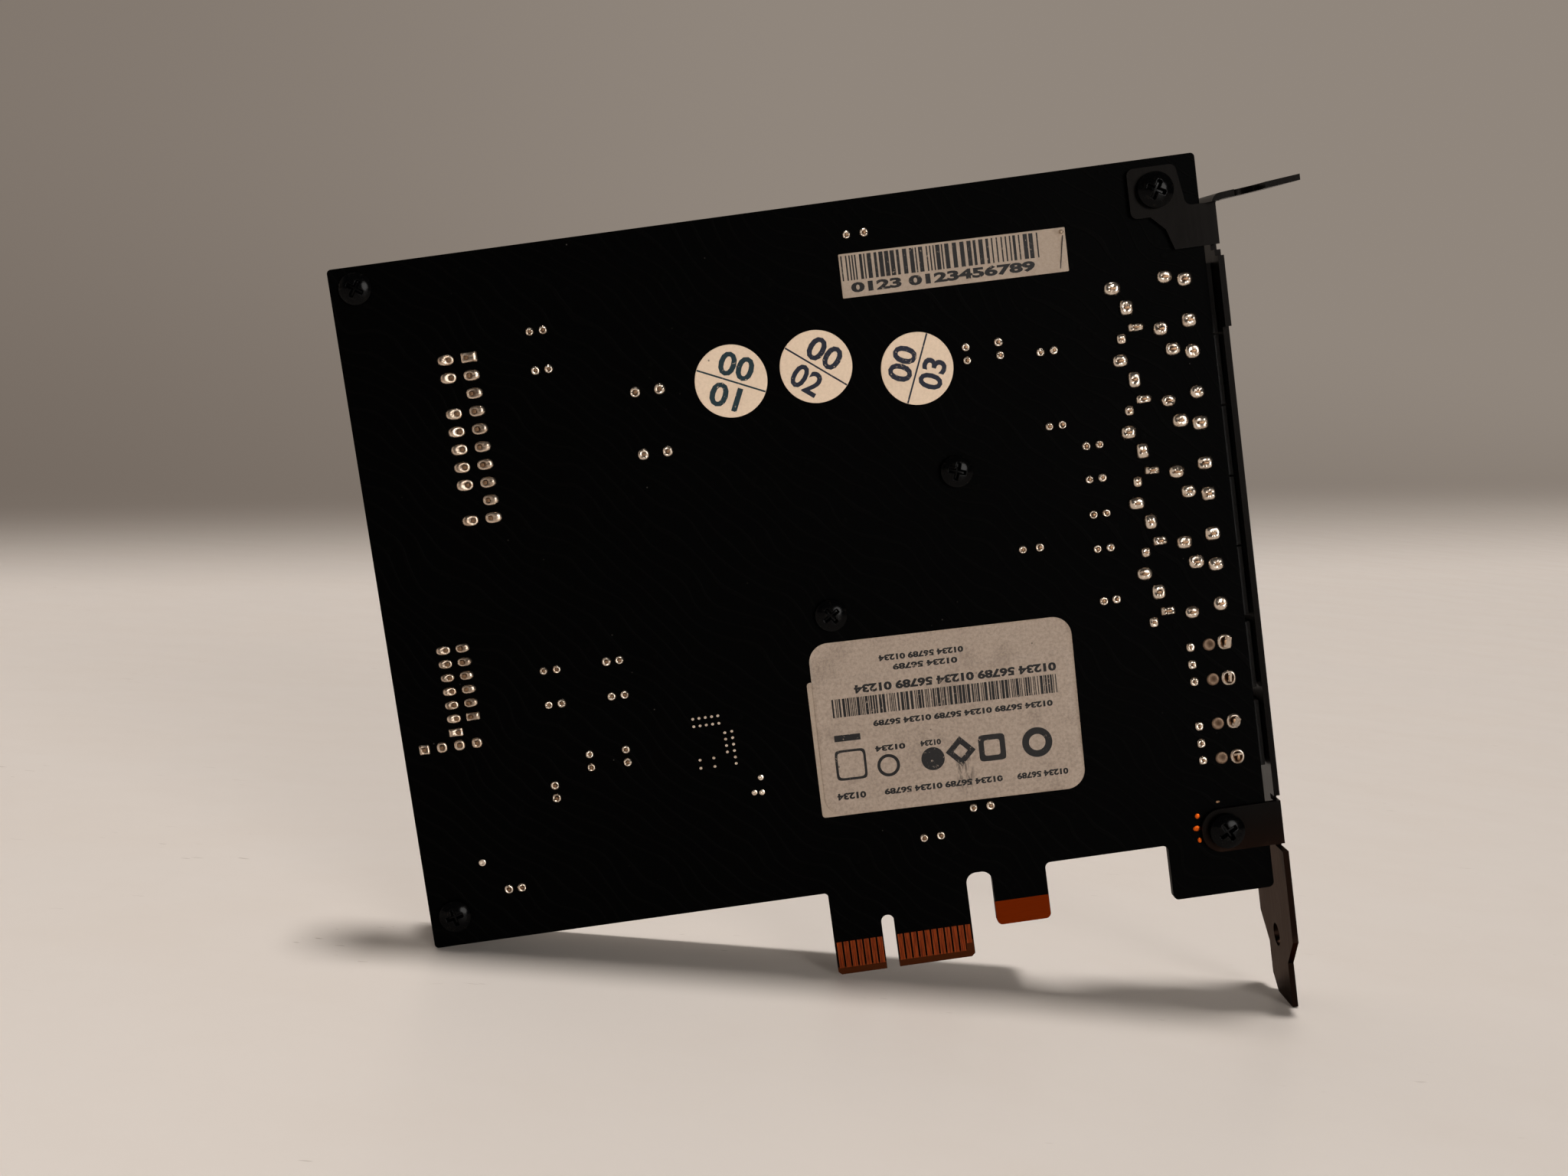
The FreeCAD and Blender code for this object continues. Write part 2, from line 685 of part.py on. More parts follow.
def make_jack(index):
    """One 3.5 mm jack: moulded housing with a nose and a blind bore, and side terminals in slots."""
    number = index + 1
    middle = jack_centre(index)
    half = "(jack_pitch - jack_gap) / 2"
    body = new_body(f"jack_{number}_housing")
    base = sketch_on(body, "XZ_Plane", PART_FACE)
    draw_box(base, "jack_back", f"{middle} - {half}", PANEL_BACK, f"{middle} + {half}")
    pad(body, base, "jack_height")
    roof = f"{PART_FACE} + jack_height"
    bevel(body, "jack_chamfer", runs_along("x", (roof, f"{middle} - {half}"), (roof, f"{middle} + {half}")))
    nose = sketch_on(body, "YZ_Plane", PANEL_BACK)
    draw_ring(nose, JACK_LEVEL, middle, "jack_nose")
    pad(body, nose, "panel_gap + sheet + jack_lip")
    bore = sketch_on(body, "YZ_Plane", "bracket_face + jack_lip - jack_depth")
    draw_ring(bore, JACK_LEVEL, middle, "jack_bore")
    cut(body, bore, "jack_depth")
    slots = sketch_on(body, "XZ_Plane", PART_FACE)
    gap = "terminal_gap"
    for x, z in terminal_places(index):
        outward = "+" if z.startswith(f"{middle} +") else "-"
        low = f"{z} - {gap}" if outward == "+" else f"{z} - 2 * {gap}"
        high = f"{z} + terminal_thick + 2 * {gap}" if outward == "+" else f"{z} + terminal_thick + {gap}"
        draw_box(slots, f"{x} - {gap}", low, f"{x} + terminal_width + {gap}", high)
    cut(body, slots, "terminal_height + terminal_gap")

    terminals = new_body(f"jack_{number}_terminals")
    blades = sketch_on(terminals, "XZ_Plane", PART_FACE)
    for x, z in terminal_places(index):
        draw_box(blades, x, z, f"{x} + terminal_width", f"{z} + terminal_thick")
    pad(terminals, blades, "terminal_height")


def make_optical(index):
    """One optical socket: housing with a square mouth, and the module with its lens and three leads."""
    number = index + 1
    middle = optical_centre(index)
    body = new_body(f"optical_{number}_housing")
    base = sketch_on(body, "XZ_Plane", PART_FACE)
    draw_box(base, "optical_back", f"{middle} - optical_width / 2",
             PANEL_BACK, f"{middle} + optical_width / 2")
    pad(body, base, "optical_height")
    nose = sketch_on(body, "YZ_Plane", PANEL_BACK)
    draw_box(nose, f"{OPTICAL_LEVEL} - optical_nose / 2", f"{middle} - optical_nose / 2",
             f"{OPTICAL_LEVEL} + optical_nose / 2", f"{middle} + optical_nose / 2")
    pad(body, nose, "panel_gap + sheet + optical_lip")
    front = "bracket_face + optical_lip"
    mouth = sketch_on(body, "YZ_Plane", f"{front} - optical_depth")
    half = "optical_cavity / 2"
    draw(mouth, [
        (f"{OPTICAL_LEVEL} - {half}", f"{middle} - {half}"),
        (f"{OPTICAL_LEVEL} - {half}", f"{middle} + {half}"),
        (f"{OPTICAL_LEVEL} + {half} - optical_corner", f"{middle} + {half}"),
        (f"{OPTICAL_LEVEL} + {half}", f"{middle} + {half} - optical_corner"),
        (f"{OPTICAL_LEVEL} + {half}", f"{middle} - {half} + optical_corner"),
        (f"{OPTICAL_LEVEL} + {half} - optical_corner", f"{middle} - {half}"),
    ])
    cut(body, mouth, "optical_depth")
    seat = sketch_on(body, "YZ_Plane", "optical_back")
    wide = "(optical_module / 2 + optical_clearance)"
    draw_box(seat, PART_FACE, f"{middle} - {wide}", f"{OPTICAL_LEVEL} + {wide}", f"{middle} + {wide}")
    cut(body, seat, "optical_module_depth + optical_clearance")
    eye = sketch_on(body, "YZ_Plane", "optical_back")
    draw_ring(eye, OPTICAL_LEVEL, middle, "optical_lens + 2 * optical_clearance")
    cut(body, eye, f"{front} - optical_back")

    module = new_body(f"optical_{number}_module")
    block_face = sketch_on(module, "YZ_Plane", "optical_back")
    draw_box(block_face, f"{OPTICAL_LEVEL} - optical_module / 2", f"{middle} - optical_module / 2",
             f"{OPTICAL_LEVEL} + optical_module / 2", f"{middle} + optical_module / 2")
    pad(module, block_face, "optical_module_depth")
    lens = sketch_on(module, "YZ_Plane", "optical_back + optical_module_depth")
    draw_ring(lens, OPTICAL_LEVEL, middle, "optical_lens")
    pad(module, lens, f"{front} - optical_depth - optical_back - optical_module_depth + optical_lip")

    leads = new_body(f"optical_{number}_leads")
    rows = sketch_on(leads, "XZ_Plane", PART_FACE)
    for step in (-1, 0, 1):
        place = f"{middle} + {step} * pin_pitch"
        draw_box(rows, "optical_pin_x - optical_pin / 2", f"{place} - optical_pin / 2",
                 "optical_pin_x + optical_pin / 2", f"{place} + optical_pin / 2")
    pad(leads, rows, f"{OPTICAL_LEVEL} - optical_module / 2 - ({PART_FACE})")


def panel_pins():
    """Pins of the front-panel header; two places on the outer column are left out as keys."""
    centre = "board_left + panel_header_inset"
    places = []
    for row in range(PANEL_ROWS):
        level = f"panel_header_top - {row} * pin_pitch"
        places.append((f"{centre} + pin_pitch / 2", level, 1))
        if row not in (2, 8):
            places.append((f"{centre} - pin_pitch / 2", level, -1))
    return places


def digital_pins():
    """Pins of the fine-pitch header; the last place on the inner column is left out as a key."""
    centre = "board_left + digital_header_inset"
    places = []
    for row in range(DIGITAL_ROWS):
        level = f"digital_header_top - {row} * fine_pin_pitch"
        places.append((f"{centre} - fine_pin_pitch / 2", level, -1))
        if row < DIGITAL_ROWS - 1:
            places.append((f"{centre} + fine_pin_pitch / 2", level, 1))
    return places


def aux_pins():
    """Four pins in one row."""
    return [(f"board_left + aux_header_inset + {step} * pin_pitch", "aux_header_level", 0)
            for step in range(AUX_PINS)]


def make_header(label, sides, height, places, square, pin_height):
    """A pin header: a moulded strip, and the square pins above it."""
    left, bottom, right, top = sides
    body = new_body(f"{label}_strip")
    base = sketch_on(body, "XZ_Plane", PART_FACE)
    draw_box(base, left, bottom, right, top)
    pad(body, base, height)
    pins = new_body(f"{label}_pins")
    outlines = sketch_on(pins, "XZ_Plane", f"{PART_FACE} + {height}")
    for x, z, _ in places:
        draw_box(outlines, f"{x} - {square} / 2", f"{z} - {square} / 2",
                 f"{x} + {square} / 2", f"{z} + {square} / 2")
    pad(pins, outlines, f"{pin_height} - {height}")


def make_headers():
    panel = "board_left + panel_header_inset"
    make_header("panel_header", (
        f"{panel} - pin_pitch", f"panel_header_top - {PANEL_ROWS - 0.5} * pin_pitch",
        f"{panel} + pin_pitch", "panel_header_top + pin_pitch / 2"),
        "pin_pitch", panel_pins(), "pin_square", "pin_height")
    digital = "board_left + digital_header_inset"
    make_header("digital_header", (
        f"{digital} - fine_pin_pitch",
        f"digital_header_top - {DIGITAL_ROWS - 1} * fine_pin_pitch - digital_header_margin",
        f"{digital} + fine_pin_pitch", "digital_header_top + digital_header_margin"),
        "fine_pin_pitch", digital_pins(), "fine_pin_square", "fine_pin_height")
    aux = "board_left + aux_header_inset"
    make_header("aux_header", (
        f"{aux} - pin_pitch / 2", "aux_header_level - aux_header_width / 2",
        f"{aux} + {AUX_PINS - 0.5} * pin_pitch", "aux_header_level + aux_header_width / 2"),
        "pin_pitch", aux_pins(), "pin_square", "pin_height")


def under_shield(x, z):
    """Whether a place on the component side is under the shield."""
    return x < num("shield_right_high" if z > num("shield_step") else "shield_right")


def prism(x, z, diameter, height, sides):
    """A standing prism with flat sides, on the component face."""
    face = num(PART_FACE)
    corners = [
        FreeCAD.Vector(x + diameter / 2 * math.cos(turn), face, z + diameter / 2 * math.sin(turn))
        for turn in (2 * math.pi * (step + 0.5) / sides for step in range(sides))
    ]
    return Part.Face(Part.makePolygon(corners + corners[:1])).extrude(FreeCAD.Vector(0, height, 0))


def make_cans():
    """Capacitor cans: nearly round ones in the open, plain eight-sided ones under the shield."""
    covered = []
    for size, places in CANS.items():
        diameter = num(f"{size}_can")
        height = num(f"{size}_can_height")
        shown = [(x, z) for x, z, _ in places if not under_shield(x, z)]
        covered += [prism(x, z, diameter, height, 8) for x, z, _ in places if under_shield(x, z)]
        if shown:
            cans = [prism(x, z, diameter, height, SMALL_ROUND_SIDES) for x, z in shown]
            group(f"{size}_capacitors", cans)
    group("covered_capacitors", covered)


def joint(x, z, across, up, sides=6):
    """One solder joint: a pad-sized foot that draws in to the cut lead."""
    foot = num(SOLDER_FACE)
    tip = foot - num("joint_height")
    waist = num("joint_waist")
    turns = [2 * math.pi * (step + 0.5) / sides for step in range(sides)]
    low, high = [
        [FreeCAD.Vector(x + scale * across / 2 * math.cos(turn), level, z + scale * up / 2 * math.sin(turn))
         for turn in turns]
        for scale, level in ((1, foot), (waist, tip))
    ]
    outlines = [low, high]
    for step in range(sides):
        after = (step + 1) % sides
        outlines.append([low[step], low[after], high[after], high[step]])
    faces = [Part.Face(Part.makePolygon(outline + outline[:1])) for outline in outlines]
    return Part.makeSolid(Part.makeShell(faces))


def make_joints():
    """Solder joints on the solder face, under every lead that comes through the board."""
    jacks = []
    for index in range(JACKS):
        middle = num(jack_centre(index))
        size = num("jack_joint")
        jacks += [joint(x, middle + rise, size, size, 5) for x, rise in JACK_JOINTS]
    group("jack_solder_joints", jacks)

    opticals = []
    for index in range(OPTICALS):
        middle = num(optical_centre(index))
        for step in (-1, 0, 1):
            size = num("pin_joint")
            opticals.append(joint(num("optical_pin_x"), middle + step * num("pin_pitch"), size, size))
        for side in (-1, 1):
            size = num("pin_joint")
            level = middle + side * num("optical_tab_spread") / 2
            opticals.append(joint(num("optical_tab_x"), level, size, size))
    group("optical_solder_joints", opticals)

    headers = []
    for places, wide, tall in ((panel_pins(), "pin_joint_long", "pin_joint"),
                               (digital_pins(), "fine_joint_long", "fine_joint"),
                               (aux_pins(), "pin_joint", "pin_joint")):
        for x, z, outward in places:
            shift = outward * num(f"({wide} - {tall}) / 2")
            headers.append(joint(num(x) + shift, num(z), num(wide), num(tall)))
    group("header_solder_joints", headers)

    cans = []
    for size, places in CANS.items():
        spread = num(f"{size}_can_leads") / 2
        foot = num("large_can_joint" if size == "large" else "can_joint")
        for x, z, way in places:
            for side in (-1, 1):
                dx, dz = (side * spread, 0) if way == "across" else (0, side * spread)
                cans.append(joint(x + dx, z + dz, foot, foot, 5))
    group("capacitor_solder_joints", cans)


def make_label(label, width, height, x, z, turn, near, radius=None):
    """A thin label stuck on the solder side and a little turned; its corners may be rounded."""
    body = new_body(label)
    outline = sketch_on(body, "XZ_Plane")
    corners = [
        (f"-({width}) / 2", f"-({height}) / 2"), (f"{width} / 2", f"-({height}) / 2"),
        (f"{width} / 2", f"{height} / 2"), (f"-({width}) / 2", f"{height} / 2"),
    ]
    draw(outline, corners)
    pad(body, outline, "label_thick")
    if radius is not None:
        round_off(body, radius, runs_along("y", *corners))
    body.setExpression("Placement.Base.x", cells(x))
    body.setExpression("Placement.Base.y", cells(near))
    body.setExpression("Placement.Base.z", cells(z))
    turned = FreeCAD.Rotation(FreeCAD.Vector(0, -1, 0), num(turn))
    body.Placement = FreeCAD.Placement(FreeCAD.Vector(num(x), num(near), num(z)), turned)
    doc.recompute()


def make_labels():
    make_label("under_label", "data_label_width", "under_label_height", "data_label_x - under_label_shift",
               "data_label_z - under_label_drop", "under_label_turn", f"{SOLDER_FACE} - label_thick")
    make_label("data_label", "data_label_width", "data_label_height", "data_label_x", "data_label_z",
               "data_label_turn", f"{SOLDER_FACE} - 2 * label_thick", "label_round")
    make_label("strip_label", "strip_label_width", "strip_label_height", "strip_label_x", "strip_label_z",
               "strip_label_turn", f"{SOLDER_FACE} - label_thick")
    stickers = new_body("round_stickers")
    rounds = sketch_on(stickers, "XZ_Plane", f"{SOLDER_FACE} - label_thick")
    for x, z in STICKERS:
        draw_many_sided(rounds, x, z, "sticker", STICKER_SIDES)
    pad(stickers, rounds, "label_thick")


def standing_block(x, z, across, up, height):
    """A block on the component face, centred at X and Z."""
    face = num(PART_FACE)
    return block(x - across / 2, face, z - up / 2, x + across / 2, face + height, z + up / 2)


def make_chips():
    """The chips: processor and memory under the shield, converter, amplifiers and regulators beside it."""
    processor = num("processor_size")
    middle_x = num("(mid_screw_x + inner_screw_x) / 2")
    middle_z = num("(mid_screw_z + inner_screw_z) / 2")
    group("audio_processor", [standing_block(middle_x, middle_z, processor, processor,
                                             num("processor_height"))])
    group("memory_chip", [standing_block(-22.0, 62.0, num("memory_width"), num("memory_length"),
                                         num("memory_height"))])
    converter = num("converter_size")
    group("converter_chip", [standing_block(29.6, 67.6, converter, converter, num("converter_height"))])
    group("crystal", [standing_block(-20.0, 40.0, num("crystal_length"), num("crystal_width"),
                                     num("crystal_height"))])
    group("amplifier_chips", [standing_block(x, z, num("amp_width"), num("amp_length"), num("amp_height"))
                              for x, z in AMPLIFIERS])
    regulator = num("regulator_size")
    group("regulators", [standing_block(x, z, regulator, regulator, num("regulator_height"))
                         for x, z in REGULATORS])
    chips = []
    for index in range(JACKS):
        middle = num(jack_centre(index))
        for side in (-1, 1):
            x = num("jack_back - chip_length")
            chips.append(standing_block(x, middle + side * num("chip_length"), num("chip_width"),
                                        num("chip_length"), num("chip_height")))
    group("chip_resistors", chips)


def build():
    make_board()
    make_contacts("solder_side_contacts", f"{SOLDER_FACE} - contact_thick", (True, CONTACTS_BEFORE_KEY - 1))
    make_contacts("part_side_contacts", PART_FACE, (False, CONTACTS_AFTER_KEY - 2))
    make_bracket()
    make_screw_heads("bracket_screws", (LOW_SCREW, HIGH_SCREW), EAR_NEAR, "bracket_screw_head",
                     "bracket_screw_head_height")
    hexagons("bracket_nuts", (LOW_SCREW, HIGH_SCREW), "bracket_nut_across", "bracket_nut_height")
    make_shield()
    hexagons("shield_standoffs", SHIELD_SCREWS, "standoff_across", "shield_height - shield_sheet")
    make_screw_heads("shield_screws", SHIELD_SCREWS, SOLDER_FACE, "shield_screw_head",
                     "shield_screw_head_height")
    for index in range(JACKS):
        make_jack(index)
    for index in range(OPTICALS):
        make_optical(index)
    make_headers()
    make_cans()
    make_chips()
    make_joints()
    make_labels()


def save():
    """Checks every object and piece, then writes one file for each piece."""
    doc.recompute()
    for item in doc.Objects:
        if "Invalid" in item.State or "Error" in item.State:
            raise RuntimeError(f"{item.Label} did not build: {item.State}")
    for node in nodes:
        if node.Shape.isNull() or not node.Shape.isValid() or not node.Shape.Solids:
            raise RuntimeError(f"{node.Label} has no valid solid")
    os.makedirs("parts", exist_ok=True)
    for node in nodes:
        node.Shape.exportStep(os.path.join("parts", node.Label + ".step"))
    print(len(nodes), "pieces written")


build()
save()
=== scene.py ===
# %% [markdown]
# # A sound card, seen from its solder side
# The packed solids of the card are the frame of this lesson, and none of them moves. Each step below takes
# one kind of piece or finish on the real card, says how it could be made, and then makes it around that
# frame. Lengths are in millimetres until the moment a mesh is written, because a card is drawn in
# millimetres.

import math

import bpy
import numpy as np
from mathutils import Matrix, Vector


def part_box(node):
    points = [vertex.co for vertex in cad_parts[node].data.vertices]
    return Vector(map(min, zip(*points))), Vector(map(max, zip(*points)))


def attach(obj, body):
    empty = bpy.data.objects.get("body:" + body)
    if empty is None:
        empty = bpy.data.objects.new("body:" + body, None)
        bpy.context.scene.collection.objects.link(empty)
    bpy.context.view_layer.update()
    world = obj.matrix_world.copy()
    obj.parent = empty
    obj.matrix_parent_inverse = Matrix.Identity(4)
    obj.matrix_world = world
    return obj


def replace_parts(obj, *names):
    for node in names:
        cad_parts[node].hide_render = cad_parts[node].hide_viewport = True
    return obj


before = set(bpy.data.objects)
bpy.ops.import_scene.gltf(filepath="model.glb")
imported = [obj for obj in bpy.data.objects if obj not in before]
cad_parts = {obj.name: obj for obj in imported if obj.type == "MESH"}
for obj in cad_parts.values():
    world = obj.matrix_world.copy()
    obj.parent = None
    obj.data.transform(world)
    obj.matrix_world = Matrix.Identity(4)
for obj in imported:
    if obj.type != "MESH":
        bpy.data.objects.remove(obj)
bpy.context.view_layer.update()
MM = 0.001
BODY = "root"


def box_mm(node):
    """Lowest and highest corner of a CAD node, in millimetres."""
    return [np.array(corner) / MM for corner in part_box(node)]


SOLDER_FACE = box_mm("circuit_board")[0][1]
PART_FACE = box_mm("circuit_board")[1][1]
print("solids:", len(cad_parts), "board faces at", round(SOLDER_FACE, 3), round(PART_FACE, 3))

# %% [markdown]
# ## Camera
# The photograph was taken nearly square to the solder side, a little from above, with the card rolled to
# one side. A camera could be aimed by eye, but yaw, pitch, roll and a focal length are enough to state it
# exactly. The focal length is given in pixels of the full image, which turns into a lens by the width of
# the sensor.

# %% Where the camera looks
IMAGE_WIDTH = 2048
IMAGE_HEIGHT = 1536
FOCAL_PIXELS = 2725.5
SENSOR_WIDTH = 36.0
CAMERA_PLACE = np.array([-12.31, -297.76, 94.32])
CAMERA_YAW = math.radians(0.746)
CAMERA_PITCH = math.radians(-6.987)
CAMERA_ROLL = math.radians(-7.793)

camera_ahead = np.array([
    math.sin(CAMERA_YAW) * math.cos(CAMERA_PITCH),
    math.cos(CAMERA_YAW) * math.cos(CAMERA_PITCH),
    math.sin(CAMERA_PITCH),
])
level = np.array([math.cos(CAMERA_YAW), -math.sin(CAMERA_YAW), 0.0])
above = np.cross(level, camera_ahead)
camera_right = math.cos(CAMERA_ROLL) * level + math.sin(CAMERA_ROLL) * above
camera_up = np.cross(camera_right, camera_ahead)
print("camera looks along", np.round(camera_ahead, 3), "with up at", np.round(camera_up, 3))

# %% [markdown]
# ## The camera as an object
# Blender's camera looks along its own -Z, with +X to the right and +Y up. Three angles could turn it, but
# their order matters, so the three directions are simply the columns of its matrix.

# %% Camera at the photograph's viewing angle
camera_data = bpy.data.cameras.new("photo_camera")
camera_data.sensor_width = SENSOR_WIDTH
camera_data.lens = FOCAL_PIXELS / IMAGE_WIDTH * SENSOR_WIDTH
camera_data.clip_start = 0.01
camera_data.clip_end = 20.0
camera = bpy.data.objects.new("photo_camera", camera_data)
camera_turn = Matrix(np.column_stack([camera_right, camera_up, -camera_ahead]).tolist()).to_4x4()
camera.matrix_world = Matrix.Translation(Vector(CAMERA_PLACE * MM)) @ camera_turn
bpy.context.scene.collection.objects.link(camera)
bpy.context.scene.camera = camera
print("lens", round(camera_data.lens, 2), "mm")

# %% [markdown]
# ## Shader arithmetic
# Every finish here is made of nodes. Written out one by one, a sum of two noises takes six lines, so a
# small class wraps a socket and lets Python's own operators add the Math nodes. Any other node comes from
# one method of a second class, which stands for a whole material.

# %% Wires
class Wire:
    """One output socket of a finish; plain arithmetic on it adds Math nodes."""

    def __init__(self, finish, socket):
        self.finish = finish
        self.socket = socket

    def math(self, operation, *values):
        return self.finish.node("ShaderNodeMath", {"operation": operation}, values)

    def __add__(self, other):
        return self.math("ADD", self, other)

    def __sub__(self, other):
        return self.math("SUBTRACT", self, other)

    def __rsub__(self, other):
        return self.math("SUBTRACT", other, self)

    def __mul__(self, other):
        return self.math("MULTIPLY", self, other)

    def __gt__(self, other):
        return self.math("GREATER_THAN", self, other)

    def __lt__(self, other):
        return self.math("LESS_THAN", self, other)

    __radd__ = __add__
    __rmul__ = __mul__

    def abs(self):
        return self.math("ABSOLUTE", self)

    def fraction(self):
        """The part after the point."""
        return self.math("FRACT", self)

    def larger(self, other):
        """The larger of two values."""
        return self.math("MAXIMUM", self, other)

    def fade(self, low, high):
        """0 below low, 1 above high, and a smooth step between."""
        kind = {"interpolation_type": "SMOOTHSTEP"}
        return self.finish.node("ShaderNodeMapRange", kind, (self, low, high, 0.0, 1.0))


print("a wire also knows:", [name for name in vars(Wire) if not name.startswith("_")])

# %% [markdown]
# ## A finish
# A material is a tree of nodes around one shader. This class keeps the tree, puts constants directly on the
# shader's sockets, and makes any node by one method: its type, its settings, and a value or wire for each
# socket. The short methods after it name the patterns that the finishes below use again and again.

# %% Finishes
class Finish:
    """One material: a shader with constants on its sockets, and the nodes that vary over the surface."""

    def __init__(self, name, **constants):
        self.material = bpy.data.materials.new(name)
        self.material.use_nodes = True
        self.tree = self.material.node_tree
        self.shader = self.tree.nodes["Principled BSDF"]
        for socket, value in constants.items():
            self.shader.inputs[socket.replace("_", " ")].default_value = value
        self.place = self.node("ShaderNodeTexCoord", out="Object")

    def node(self, kind, settings=None, values=(), out=0):
        """Any node: its settings first, then a value or a wire for each socket; returns one output's wire."""
        node = self.tree.nodes.new(kind)
        for name, setting in (settings or {}).items():
            setattr(node, name, setting)
        pairs = values.items() if isinstance(values, dict) else enumerate(values)
        for socket, value in pairs:
            self.join(node.inputs[socket], value)
        return Wire(self, node.outputs[out])

    def join(self, socket, value):
        if isinstance(value, Wire):
            self.tree.links.new(value.socket, socket)
        else:
            socket.default_value = value

    def feed(self, **wires):
        """Wires for the shader's own sockets."""
        for socket, wire in wires.items():
            self.join(self.shader.inputs[socket.replace("_", " ")], wire)
        return self

    def stretched(self, x=1.0, y=1.0, z=1.0):
        """The place on the surface, stretched along the axes."""
        return self.node("ShaderNodeMapping", None, {"Vector": self.place, "Scale": (x, y, z)})

    def noise(self, size, detail=3.0, place=None, roughness=0.55):
        """Cloudy values around a half, with grains about as large as size in millimetres."""
        values = {"Vector": place or self.place, "Scale": 1.0 / (size * MM)}
        values.update({"Detail": detail, "Roughness": roughness})
        return self.node("ShaderNodeTexNoise", None, values)

    def cells(self, size):
        """Distance to the nearest of scattered points that are about size apart, in cells."""
        return self.node("ShaderNodeTexVoronoi", None, {"Vector": self.place, "Scale": 1.0 / (size * MM)})

    def axis(self, name):
        """One coordinate of the place, in millimetres."""
        return self.node("ShaderNodeSeparateXYZ", None, (self.place,), name) * (1.0 / MM)

    def attribute(self, name):
        """A value that the mesh carries at its own points."""
        return self.node("ShaderNodeAttribute", {"attribute_name": name}, (), "Fac")

    def mix(self, factor, low, high):
        """A colour between two colours."""
        return self.node("ShaderNodeMix", {"data_type": "RGBA"}, {0: factor, 6: low, 7: high}, 2)

    def bump(self, height, depth, strength=1.0):
        """A normal from a height between 0 and 1 that stands for depth in millimetres."""
        values = {"Height": height, "Distance": depth * MM, "Strength": strength}
        return self.node("ShaderNodeBump", None, values)


def rgb(red, green, blue):
    return (red, green, blue, 1.0)


finishes = {}
print("a finish knows:", [name for name in vars(Finish) if not name.startswith("_")])

# %% [markdown]
# ## The laminate
# The board is a glass-fibre sheet under a black mask. The hook tab and the bevel below the contacts have no
# mask, so the brown laminate is bare there, and it is dark in the gaps between the contacts. These places
# could be pieces of their own, but they are flat, so a comparison of X and Z with the board's heights is
# enough.

# %% Bands without mask
BARE_HOOK_TOP = 7.8
BARE_HOOK_LEFT = 14.5
BARE_HOOK_WIDTH = 12.0
BEVEL_TOP = 1.25
CONTACT_BAND_TOP = 5.15
SHORT_CONTACT_LEFT = 11.0
SHORT_CONTACT_LOW = 2.7
EDGE_MARGIN = 0.02

board = Finish("laminate_mask", Specular_IOR_Level=0.012)
x = board.axis("X")
z = board.axis("Z")
hook = (z < BARE_HOOK_TOP) * (x > BARE_HOOK_LEFT) * (x < BARE_HOOK_LEFT + BARE_HOOK_WIDTH)
band = (z < CONTACT_BAND_TOP) * (x < BARE_HOOK_LEFT)
short_corner = (z < SHORT_CONTACT_LOW) * (x > SHORT_CONTACT_LEFT)
bevel = (z < BEVEL_TOP).larger(short_corner) * (x < BARE_HOOK_LEFT)
cut_edge = board.axis("Y").abs() < (PART_FACE - EDGE_MARGIN)
print("bevel below", BEVEL_TOP, "contact band below", CONTACT_BAND_TOP, "bare hook below", BARE_HOOK_TOP)

# %% [markdown]
# ## What lies under the mask
# Copper runs under the mask and lifts it a little, which is all that shows of it. The runs could be drawn
# one by one, but nobody can follow them under black, so a bent wave and scattered round spots give their
# relief. Dust lies in small specks, and smears of handling change the gloss.

# %% Laminate finish
MASK_BLACK = rgb(0.0003, 0.0003, 0.0003)
COPPER_UNDER_MASK = rgb(0.0010, 0.0009, 0.0008)
DUST = rgb(0.12, 0.11, 0.10)
BARE_LAMINATE = (rgb(0.150, 0.017, 0.0004), rgb(0.115, 0.012, 0.0003))
BEVEL_LAMINATE = (rgb(0.062, 0.016, 0.005), rgb(0.042, 0.010, 0.003))
GAP_LAMINATE = rgb(0.003, 0.0005, 0.0002)
EDGE_LAMINATE = rgb(0.012, 0.008, 0.005)

runs = board.node("ShaderNodeTexWave", {"bands_direction": "DIAGONAL"}, {
    "Vector": board.place, "Scale": 210.0, "Distortion": 14.0, "Detail": 1.0, "Detail Scale": 0.35}, 1)
vias = 1 - board.cells(3.4).fade(0.09, 0.15)
copper = runs.fade(0.9, 0.95).larger(vias * 0.8)
weave = board.node("ShaderNodeTexChecker", None, {"Vector": board.place, "Scale": 1400.0}, 1)
dust = board.cells(2.6).fade(0.05, 0.02) * board.noise(9.0).fade(0.5, 0.62)
smear = board.noise(22.0, 4.0)
fibre = board.noise(0.25, 2.0, board.stretched(0.08, 1.0, 1.0))
face = board.mix(copper * 0.6, MASK_BLACK, COPPER_UNDER_MASK)
face = board.mix(dust * 0.35, face, DUST)
face = board.mix(hook, face, board.mix(fibre, *BARE_LAMINATE))
face = board.mix(band, face, GAP_LAMINATE)
face = board.mix(bevel, face, board.mix(fibre, *BEVEL_LAMINATE))
face = board.mix(cut_edge * (1 - hook) * (1 - bevel), face, EDGE_LAMINATE)
relief = copper * (1 - hook) * (1 - band) * 0.8 + weave * 0.12 + fibre * 0.1
gloss = 0.36 + 0.16 * smear + 0.25 * hook
finishes["laminate"] = board.feed(Base_Color=face, Roughness=gloss, Normal=board.bump(relief, 0.035, 0.6))
print("laminate:", len(board.tree.nodes), "nodes")
